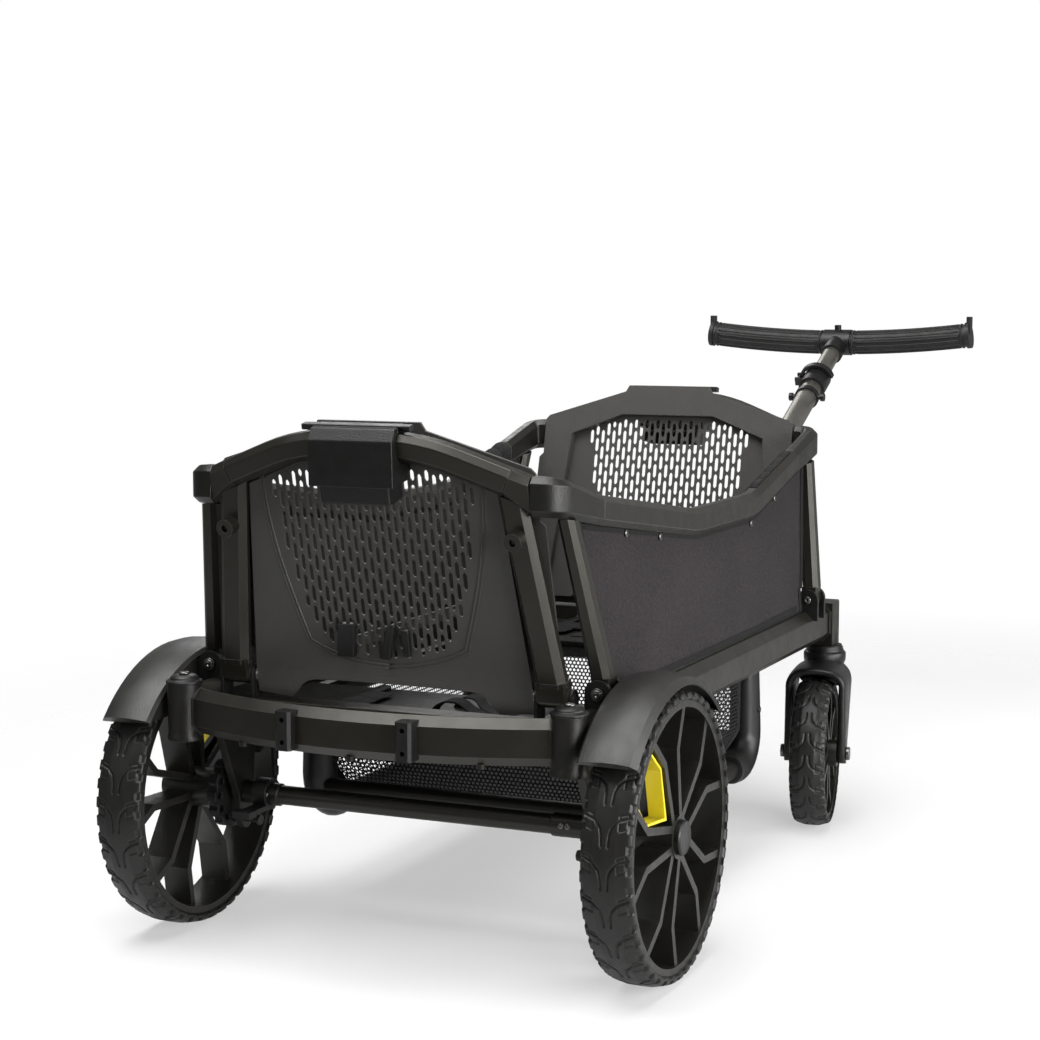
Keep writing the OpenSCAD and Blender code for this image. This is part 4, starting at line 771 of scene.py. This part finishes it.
def pad(name, cx, y0, flip):
    z0 = DECK + PAD_LIFT
    outline = [at(cx + (x - PAD_MIDDLE) * flip[0], y0 + y * flip[1], z0) for x, y in PAD_OUTLINE]
    slab = Build()
    slab.plate(outline, Vector((0, 0, PAD_THICK)))
    ob = slab.done(name, "webbing", "frame")
    remesh(ob)
    me = ob.data
    rest = [v.co.copy() for v in me.vertices]
    moved = swollen(ob)
    mid_y = sum(p.y for p in outline) / len(outline)
    for v, a, m in zip(me.vertices, rest, moved):
        d = m - a
        if d.length > SWELL_CAP:
            d = d * (SWELL_CAP / d.length)
        q = a + d
        along = (q.y - mid_y) * 1000
        if q.z > z0 / 1000 + SEAM_FROM:
            q.z -= SEAM_DEPTH * sum(math.exp(-(along - seam) ** 2 / SEAM_SPREAD) for seam in SEAMS)
        q.z = max(q.z, (DECK + PAD_REST) / 1000)
        v.co = q
    me.polygons.foreach_set("use_smooth", [True] * len(me.polygons))
    me.materials.clear()
    me.materials.append(mats["webbing"])
    sub = ob.modifiers.new("sub", "SUBSURF")
    sub.levels = 1
    sub.render_levels = 1
    return ob


for end, way in ENDS:
    for side, k in SIDES:
        y0 = from_end(end, PAD_Y)
        ob = pad("pad_%s_%s" % (end, side), k * PAD_X, y0, (k, way))
        # One pad stands for the solid that holds all four
        if (end, side) == ("rear", "left"):
            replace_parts(ob, "harness_pads")
        c = at(k * PAD_X, y0 - way * BUCKLE_GAP, DECK + BUCKLE_LIFT)
        outline = [c + Vector((x / 1000, way * y / 1000, 0)) for x, y in BUCKLE]
        buckle = Build()
        buckle.plate(outline, Vector((0, 0, BUCKLE_THICK)))
        rounded(buckle.done("buckle_%s_%s" % (end, side), "black_plastic", "frame"), 0.002)

# Loose webbing that lies folded on each deck, and low bevelled battens along its middle board
FOLDS = [[(14, 22, 1), (19, 23, 11), (30, 27, 17), (44, 31, 16), (56, 35, 7), (70, 40, 2), (112, 48, 1.5)],
         [(16, 82, 1), (22, 80, 9), (34, 76, 14), (48, 70, 13), (60, 63, 5), (78, 56, 2), (104, 66, 1.5)]]
WEB_SECTION = ((-12, 0), (12, 0), (12, 2.2), (-12, 2.2))
BATTEN_SECTION = ((102, 0.2), (128, 0.2), (124, 2.0), (112, 6), (106, 6), (102, 4))
BATTEN_Y = (-22, 146)


# A smooth curve through points
def curve(points, steps):
    out = []
    for i in range(len(points) - 1):
        p = [Vector(points[max(0, min(len(points) - 1, i + d))]) for d in (-1, 0, 1, 2)]
        for j in range(steps):
            t = j / steps
            out.append(0.5 * (2 * p[1] + (p[2] - p[0]) * t + (2 * p[0] - 5 * p[1] + 4 * p[2] - p[3]) * t * t
                              + (3 * p[1] - p[0] - 3 * p[2] + p[3]) * t ** 3))
    return out + [Vector(points[-1])]


for end, way in ENDS:
    webs = Build()
    for fold in FOLDS:
        webs.loft([[at(way * q.x, from_end(end, q.y + w), DECK + max(q.z, 0.6) + h) for w, h in WEB_SECTION]
                   for q in curve(fold, 8)])
    rounded(webs.done("deck_webbing_" + end, "webbing", "frame"), 0.0007)
    battens = Build()
    for k in (-1, 1):
        battens.loft([[at(k * x, from_end(end, y), DECK + z) for x, z in BATTEN_SECTION] for y in BATTEN_Y])
    rounded(battens.done("deck_battens_" + end, "black_plastic", "frame"), 0.001)

# Quilted sleeves on the front ramps of the side rails, over the top and the inner face
RAIL_X = 213
RAIL_HALF = 16.5
SLEEVE_GAP = 0.3
SLEEVE_Y = (556, 709)
SLEEVE_SECTION = [(3.5, 16.6), (-5.2, 16.6), (-12.1, 9.5), (-12.1, -9.5), (-5.2, -16.6), (-2, -16.6)]
SLEEVE_OUTWARD = [(0, 1), (-0.4, 0.9), (-0.9, 0.4), (-0.9, -0.4), (-0.4, -0.9), (0, -1)]
QUILTS = 5
PUFF_LEAST, PUFF_MORE = 0.9, 1.9


def sleeve(side, k):
    rings = []
    steps = 64
    for i in range(steps + 1):
        t = i / steps
        y = SLEEVE_Y[0] + t * (SLEEVE_Y[1] - SLEEVE_Y[0])
        z = rail_low(y) + RAIL_HALF + SLEEVE_GAP
        swell = abs(math.sin(math.pi * t * QUILTS)) ** 0.6 * min(1, 12 * min(t, 1 - t) + 0.25)
        puff = PUFF_LEAST + PUFF_MORE * swell
        inner = [at(k * (RAIL_X + x), y, z + h) for x, h in SLEEVE_SECTION]
        outer = [at(k * (RAIL_X + x + dx * puff), y, z + h + dz * puff)
                 for (x, h), (dx, dz) in zip(SLEEVE_SECTION, SLEEVE_OUTWARD)]
        rings.append(outer + inner[::-1])
    cover = Build()
    cover.loft(rings)
    cover.done("rail_sleeve_" + side, "webbing", "frame")


for side, k in SIDES:
    sleeve(side, k)

# End panels: the ridge round the grille, the lower skirt with its bead, and clip tabs
PANEL_FACE = -11
SKIRT_BACK = -14
SKIRT_TOP = 11.9
BEAD_W, BEAD_R, BEAD_END = -12.6, 1.9, 11
GRILLE_HALF, GRILLE_GROWTH, GRILLE_RISE = 93.5, 36, 182
GRILLE_TOP, GRILLE_MIDDLE, GRILLE_LOW, GRILLE_BOWL = 246, 150, 52, 24
# Each bead of the ridge: how far it lies outside the grille, its place in w, its radius
RIDGES = ((0, PANEL_FACE, 1.3), (4.2, -11.2, 0.9))
# Lower edge of the panel, notched in the middle
LOW_HALF = [(168, -15), (127, -18), (121, -12), (114, -3), (106, 2.5), (96, 5), (80, 5.6), (40, 6.4)]
LOW_EDGE = LOW_HALF + [(-u, v) for u, v in LOW_HALF[::-1]]
TABS = ((((-54, 75), (-33, 75), (-38, 36), (-59, 36)), 9),
        (((16, 77), (6, 75), (-8, 37), (5, 36)), 9),
        (((30, 70), (20, 72), (21, 40), (29, 40)), 6))


def grille_edge(v):
    share = min(1, max(0, (v - GRILLE_LOW) / GRILLE_RISE))
    return GRILLE_HALF + GRILLE_GROWTH * math.sin(math.pi / 2 * share)


# Down one side of the grille, round its bowl and up the other side
def grille_outline():
    half = [(grille_edge(v), v) for v in np.linspace(GRILLE_TOP, GRILLE_LOW, 40)]
    for i in range(1, 15):
        a = math.pi / 2 * i / 14
        u = GRILLE_HALF - GRILLE_HALF * (1 - math.cos(a)) * 0.28 - (0.72 * GRILLE_HALF) * i / 14
        half.append((u, GRILLE_LOW - GRILLE_BOWL * math.sin(a)))
    return half + [(-u, v) for u, v in half[::-1]]


def panel_ridge(end, w):
    ridge = Build()
    for grow, depth, radius in RIDGES:
        path = []
        for u, v in grille_outline():
            m = 1 + grow / max(40.0, math.hypot(u, v - GRILLE_MIDDLE))
            path.append(w(u * m, GRILLE_MIDDLE + (v - GRILLE_MIDDLE) * m, depth))
        ridge.tube(path, radius, 6)
    ridge.done("panel_ridge_" + end, "panel_plastic", end + "_wall")


def panel_skirt(end, w):
    skirt = Build()
    thickness = w(0, 0, PANEL_FACE) - w(0, 0, SKIRT_BACK)
    for (u0, v0), (u1, v1) in zip(LOW_EDGE, LOW_EDGE[1:]):
        outline = ((u0, v0), (u1, v1), (u1, SKIRT_TOP), (u0, SKIRT_TOP))
        skirt.plate([w(u, v, SKIRT_BACK) for u, v in outline], thickness)
    skirt.done("panel_skirt_" + end, "panel_plastic", end + "_wall", smooth_faces=False, merge_at=0.00002)
    bead = Build()
    bead_path = [(LOW_EDGE[0][0], BEAD_END)] + LOW_EDGE + [(LOW_EDGE[-1][0], BEAD_END)]
    bead.tube([w(u, v, BEAD_W) for u, v in bead_path], BEAD_R)
    bead.done("panel_bead_" + end, "panel_plastic", end + "_wall")


def panel_tabs(end, w):
    tabs = Build()
    outward = w(0, 0, 1) - w(0, 0, 0)
    for outline, height in TABS:
        tabs.plate([w(u, v, PANEL_FACE) for u, v in outline], outward * height)
    rounded(tabs.done("panel_tabs_" + end, "black_plastic", end + "_wall"), 0.0018)


for end, _ in ENDS:
    panel_ridge(end, wall(end))
    panel_skirt(end, wall(end))
    panel_tabs(end, wall(end))

# Grips: lengthwise ribs round each grip of the bowed crossbar, with a ring at each end
PIVOT = at(0, 905, 266)
HANDLE_ANGLE = 25.0
HANDLE_LEN = 886
BAR_W, BAR_RISE, BAR_TILT = 480, 15, 64
BAR_R = BAR_W * BAR_W / (8 * BAR_RISE)
RIB_COUNT, RIB_START, RIB_RUN, RIB_OUT, RIB_R = 16, 34, 188, 19.9, 1.5
RING_AT, RING_OUT, RING_R = (30, 226), 20.2, 1.9


def bar_point(s, r, a):
    t = s / BAR_R
    rr = BAR_R - r * math.cos(a)
    x, y, z = rr * math.sin(t), BAR_R - rr * math.cos(t), r * math.sin(a)
    y, z = y * cos(BAR_TILT) - z * sin(BAR_TILT), y * sin(BAR_TILT) + z * cos(BAR_TILT)
    y += HANDLE_LEN
    y, z = y * cos(HANDLE_ANGLE) - z * sin(HANDLE_ANGLE), y * sin(HANDLE_ANGLE) + z * cos(HANDLE_ANGLE)
    return PIVOT + Vector((x, y, z)) / 1000


ribs = Build()
for k in (-1, 1):
    for a in around(RIB_COUNT):
        ribs.tube([bar_point(k * (RIB_START + RIB_RUN * i / 30), RIB_OUT, a) for i in range(31)], RIB_R, 6)
    for s in RING_AT:
        ring = [bar_point(k * s, RING_OUT, a) for a in around(48)]
        ribs.tube(ring + [ring[0]], RING_R, caps=False)
ribs.done("grip_ribs", "grip", "upper_handle")

# Footwell corners: a thick moulded bend from each leg into the lowest tubes.
# Its path gives the run along the tube, the height over it and the radius.
LEG_INSET = 17
BEND = 42
COVER_PATH = [(0, 122, 13.0), (0, 121, 18.5), (0, 88, 19.5)]
COVER_PATH += [(BEND - BEND * cos(a), BEND - BEND * sin(a), 21.0) for a in range(0, 91, 9)]
COVER_PATH += [(58, 0, 20.0), (64, 0, 18.5), (65, 0, 13.0)]
COVER_SCREW_OUT, COVER_SCREW_RUN, COVER_SCREW_UP = 19.6, 2, 70
COVER_SCREW_HEAD = (4.5, 2.2)
elbow_lo, elbow_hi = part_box("footwell_elbows")
LEG_X = elbow_hi[0] * 1000 - LEG_INSET
TUBE_Z = elbow_lo[2] * 1000 + LEG_INSET
LEG_REAR = elbow_lo[1] * 1000 + MID + LEG_INSET
LEG_FRONT = elbow_hi[1] * 1000 + MID - LEG_INSET


def corner_cover(build, k, y, way):
    rings = []
    for i, (run, up, r) in enumerate(COVER_PATH):
        a, b = COVER_PATH[max(i - 1, 0)], COVER_PATH[min(i + 1, len(COVER_PATH) - 1)]
        d = Vector((b[0] - a[0], b[1] - a[1])).normalized()
        ring = []
        for q in around(32):
            out, across = r * math.cos(q), r * math.sin(q)
            ring.append(at(k * LEG_X + out, y + way * (run + across * -d.y), TUBE_Z + up + across * d.x))
        rings.append(ring)
    build.loft(rings)
    place = at(k * (LEG_X + COVER_SCREW_OUT), y + way * COVER_SCREW_RUN, TUBE_Z + COVER_SCREW_UP)
    build.screw(place, (k, 0, 0), *COVER_SCREW_HEAD)


covers = Build()
for k in (-1, 1):
    corner_cover(covers, k, LEG_REAR, 1)
    corner_cover(covers, k, LEG_FRONT, -1)
covers = covers.done("footwell_corners", "black_plastic", "frame")
rounded(covers, 0.001)
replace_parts(covers, "footwell_elbows")

# Caster forks: an arched band over the tyre, below a ringed boot.
# The band's middle line runs from the eye at the wheel bolt to the shoulder and the crown.
SWIVEL_X, SWIVEL_Y = 233, 830
EYE_Y, EYE_Z, EYE_R = -92, 100, 14
SHOULDER_Y, SHOULDER_Z, SHOULDER_HALF = -63, 191, 41
CROWN_Y, CROWN_HALF, CROWN_RISE = -55, 49, 2
FORK_X, FORK_BEND, FORK_THICK = 36.5, 20, 6
CROWN_X = FORK_X - FORK_BEND
CROWN_Z = SHOULDER_Z + FORK_BEND
FORK_WEB = [(-31.5, 204), (-31.5, 190), (-24, 182), (24, 182), (31.5, 190), (31.5, 204)]
WEB_Y, WEB_THICK = -26, 0.0075
BOOT = [(24, 206), (27, 208), (29, 214), (29.5, 217), (29.5, 225), (27.5, 227.5), (25, 228), (26.5, 230),
        (24.5, 231.5), (26, 233), (24, 234.5), (24, 236.5), (18.8, 237.6)]


# Stations of the band: x across, z up, y of its middle, half its length, and the way its thickness points
def fork_band():
    half = [(-FORK_X, EYE_Z - EYE_R * sin(a), EYE_Y, EYE_R * cos(a), 180) for a in (86, 75, 60, 45, 30, 15)]
    for t in (0, 0.15, 0.3, 0.45, 0.6, 0.75, 0.9, 1):
        half.append((-FORK_X, EYE_Z + (SHOULDER_Z - EYE_Z) * t, EYE_Y + (SHOULDER_Y - EYE_Y) * t,
                     EYE_R + (SHOULDER_HALF - EYE_R) * t, 180))
    for a in range(171, 90, -9):
        t = (180 - a) / 90
        half.append((-CROWN_X + FORK_BEND * cos(a), SHOULDER_Z + FORK_BEND * sin(a),
                     SHOULDER_Y + (CROWN_Y - SHOULDER_Y) * t,
                     SHOULDER_HALF + (CROWN_HALF - SHOULDER_HALF) * t, a))
    for x in (-CROWN_X, -9, 0):
        half.append((x, CROWN_Z + CROWN_RISE * (1 - (x / CROWN_X) ** 2), CROWN_Y, CROWN_HALF, 90))
    return half + [(-x, z, y, h, 180 - a) for x, z, y, h, a in half[-2::-1]]


# Pushes a sine or cosine towards its ends, which fills an oval out to a rounded rectangle
def squared(share):
    return math.copysign(abs(share) ** 0.5, share)


def caster_arch(side, k):
    swivel = at(k * SWIVEL_X, SWIVEL_Y, 0)
    turn = Matrix.Rotation(CASTER_TURN, 3, "Z")
    rings = []
    for x, z, y, half, a in fork_band():
        ring = []
        for q in around(28):
            t = FORK_THICK * squared(math.cos(q))
            d = half * squared(math.sin(q))
            ring.append(swivel + turn @ Vector((x + t * cos(a), y + d, z + t * sin(a))) / 1000)
        rings.append(ring)
    web = [swivel + turn @ Vector((x, WEB_Y, z)) / 1000 for x, z in FORK_WEB]
    arch = Build()
    arch.loft(rings)
    arch.plate(web, turn @ Vector((0, WEB_THICK, 0)))
    arch.turned(swivel, (0, 0, 1), BOOT, 48)
    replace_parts(arch.done("caster_arch_" + side, "black_plastic", "caster_" + side), "caster_fork_" + side)


for side, k in SIDES:
    caster_arch(side, k)

# Screws on the frame: the post bolts' heads, the corners, the axle sleeves and the fenders
POST_BOLT_X = 0.22
POST_BOLT_HEAD = (5.4, 1.4)
CORNER_SCREW_X, CORNER_SCREW_Y, CORNER_SCREW_Z = 231, -104, 311.5
CORNER_SCREW_HEAD = (6, 2.0)
AXLE_SCREW_X, AXLE_SCREW_Y, AXLE_SCREW_Z = (183, 191), -12.6, 160
AXLE_SCREW_HEAD = (3.4, 2.2)
FENDER_SCREW_X, FENDER_SCREW_Y, FENDER_SCREW_Z = 255.6, (-63, 51), 272
FENDER_SCREW_HEAD = (4.5, 2.0)


# Lowest and highest value of points along one axis
def extent(points, axis):
    values = [p[axis] for p in points]
    return min(values), max(values)


def frame_screws():
    screws = Build()
    bolts = [nodes["pivot_bolts"].matrix_world @ v.co for v in nodes["pivot_bolts"].data.vertices]
    for k in (-1, 1):
        for way in (-1, 1):
            one = [b for b in bolts if b.x * k > POST_BOLT_X and (b.y + (MID - TUB) / 1000) * way > 0]
            x, z = sum(extent(one, 0)) / 2, sum(extent(one, 2)) / 2
            for y, outward in zip(extent(one, 1), (-1, 1)):
                screws.screw(Vector((x, y, z)), (0, outward, 0), *POST_BOLT_HEAD)
        screws.screw(at(k * CORNER_SCREW_X, CORNER_SCREW_Y, CORNER_SCREW_Z), (0, 0, 1), *CORNER_SCREW_HEAD)
        for x in AXLE_SCREW_X:
            screws.screw(at(k * x, AXLE_SCREW_Y, AXLE_SCREW_Z), (0, -1, 0.05), *AXLE_SCREW_HEAD)
        for y in FENDER_SCREW_Y:
            screws.screw(at(k * FENDER_SCREW_X, y, FENDER_SCREW_Z), (k, 0, 0), *FENDER_SCREW_HEAD)
    screws.done("frame_screws", "steel", "frame")


frame_screws()

# Post fittings: a nut on each post of an end wall, and a collar round its foot
POST_FOOT_U, POST_FOOT_V, POST_TAPER = 192, 2.7, 6.7
NUT_V, NUT_W = 182.7, 8.2
NUT_U = POST_FOOT_U - (NUT_V - POST_FOOT_V) * math.tan(math.radians(POST_TAPER))
NUT = [(4.6, 0), (4.6, 1.2), (3.4, 2.2), (2.0, 2.2)]
COLLAR_V = (20.5, 24.5)
COLLAR = ((-17.6, -4), (-10, -11.6), (10, -11.6), (17.6, -4), (17.6, 4), (10, 11.6), (-10, 11.6), (-17.6, 4))


def post_fittings(end, w):
    fittings = Build()
    outward = w(0, 0, 1) - w(0, 0, 0)
    for k in (-1, 1):
        fittings.turned(w(k * NUT_U, NUT_V, NUT_W), outward, NUT, 6)
        fittings.loft([[w(k * POST_FOOT_U + x, v, PANEL_FACE + y) for x, y in COLLAR] for v in COLLAR_V])
    rounded(fittings.done("post_fittings_" + end, "casting", end + "_wall"), 0.0008)


for end, _ in ENDS:
    post_fittings(end, wall(end))

# Soft light from all sides, in front of a backdrop that is white to the camera.
# Gloss and glass see the white floor below and the backdrop ahead of the object too, dimmed.
SOFT_LIGHT = 0.10


def studio():
    world = bpy.data.worlds.new("studio")
    world.use_nodes = True
    world.node_tree.nodes.clear()
    n = Nodes(world.node_tree)
    heading = n.node("ShaderNodeSeparateXYZ")
    n.link(n.node("ShaderNodeTexCoord").outputs["Generated"], heading.inputs[0])
    ahead = n.ramp(heading.outputs["Y"], 0.1, 0.9, 0.0, 0.25)
    below = n.ramp(heading.outputs["Z"], -0.3, -0.6, 0.0, 0.4)
    rays = n.node("ShaderNodeLightPath").outputs
    shiny = n.math("MAXIMUM", rays["Is Glossy Ray"], rays["Is Transmission Ray"])
    seen = n.math("MULTIPLY", shiny, n.math("MAXIMUM", ahead, below))
    mix = n.node("ShaderNodeMixShader")
    n.link(n.math("MAXIMUM", rays["Is Camera Ray"], seen), mix.inputs[0])
    for socket, strength in ((1, SOFT_LIGHT), (2, 1.0)):
        light = n.node("ShaderNodeBackground")
        light.inputs["Color"].default_value = (1, 1, 1, 1)
        light.inputs["Strength"].default_value = strength
        n.link(light.outputs[0], mix.inputs[socket])
    n.link(mix.outputs[0], n.node("ShaderNodeOutputWorld").inputs[0])
    return world


def lamp(name, place, target, size, watts):
    d = bpy.data.lights.new(name, "AREA")
    d.shape = "DISK"
    d.size = size
    d.energy = watts
    o = bpy.data.objects.new(name, d)
    o.location = place
    o.rotation_euler = (Vector(target) - Vector(place)).to_track_quat("-Z", "Y").to_euler()
    scene.collection.objects.link(o)
    return d


scene.world = studio()
lamp("key", (-0.3, -1.1, 3.1), (0.0, -0.3, 0.0), 3.0, 126)
lamp("fill", (3.2, 0.2, 1.2), (0, -0.2, 0.35), 2.0, 60)
lamp("low_rear", (-2.0, -4.2, 1.6), (0, -0.3, 0.5), 1.5, 5)
lamp("wheel_side", (2.4, -1.6, 0.7), (0.3, -0.78, 0.16), 1.6, 13).spread = math.radians(80)
lamp("back", (-1.8, 2.6, 2.4), (0, 0, 0.3), 1.4, 16)


# A pale floor that keeps the shadow and melts into the background further out
def floor_material():
    s = Shader("floor", (0.93, 0.93, 0.93), 0.75, specular=0.2)
    s.tint(s.ramp(s.noise(2.5, 3), 0.3, 0.8, 0.0, 0.3), (0.95, 0.95, 0.95))
    s.finish()
    reach = s.node("ShaderNodeVectorMath", operation="LENGTH")
    s.link(s.stretched(1.0, 0.8, 1.0), reach.inputs[0])
    melt = s.node("ShaderNodeMixShader")
    s.link(s.ramp(reach.outputs["Value"], 0.75, 1.6, 0.46, 1.0), melt.inputs[0])
    s.link(s.bsdf.outputs[0], melt.inputs[1])
    s.link(s.node("ShaderNodeBsdfTransparent").outputs[0], melt.inputs[2])
    s.link(melt.outputs[0], s.tree.nodes["Material Output"].inputs["Surface"])
    return s.mat


FLOOR_HALF = 4
floor_mesh = bpy.data.meshes.new("floor")
floor_corners = [(x * FLOOR_HALF, y * FLOOR_HALF, 0) for x, y in ((-1, -1), (1, -1), (1, 1), (-1, 1))]
floor_mesh.from_pydata(floor_corners, [], [(0, 1, 2, 3)])
floor_mesh.materials.append(floor_material())
floor = bpy.data.objects.new("floor", floor_mesh)
scene.collection.objects.link(floor)
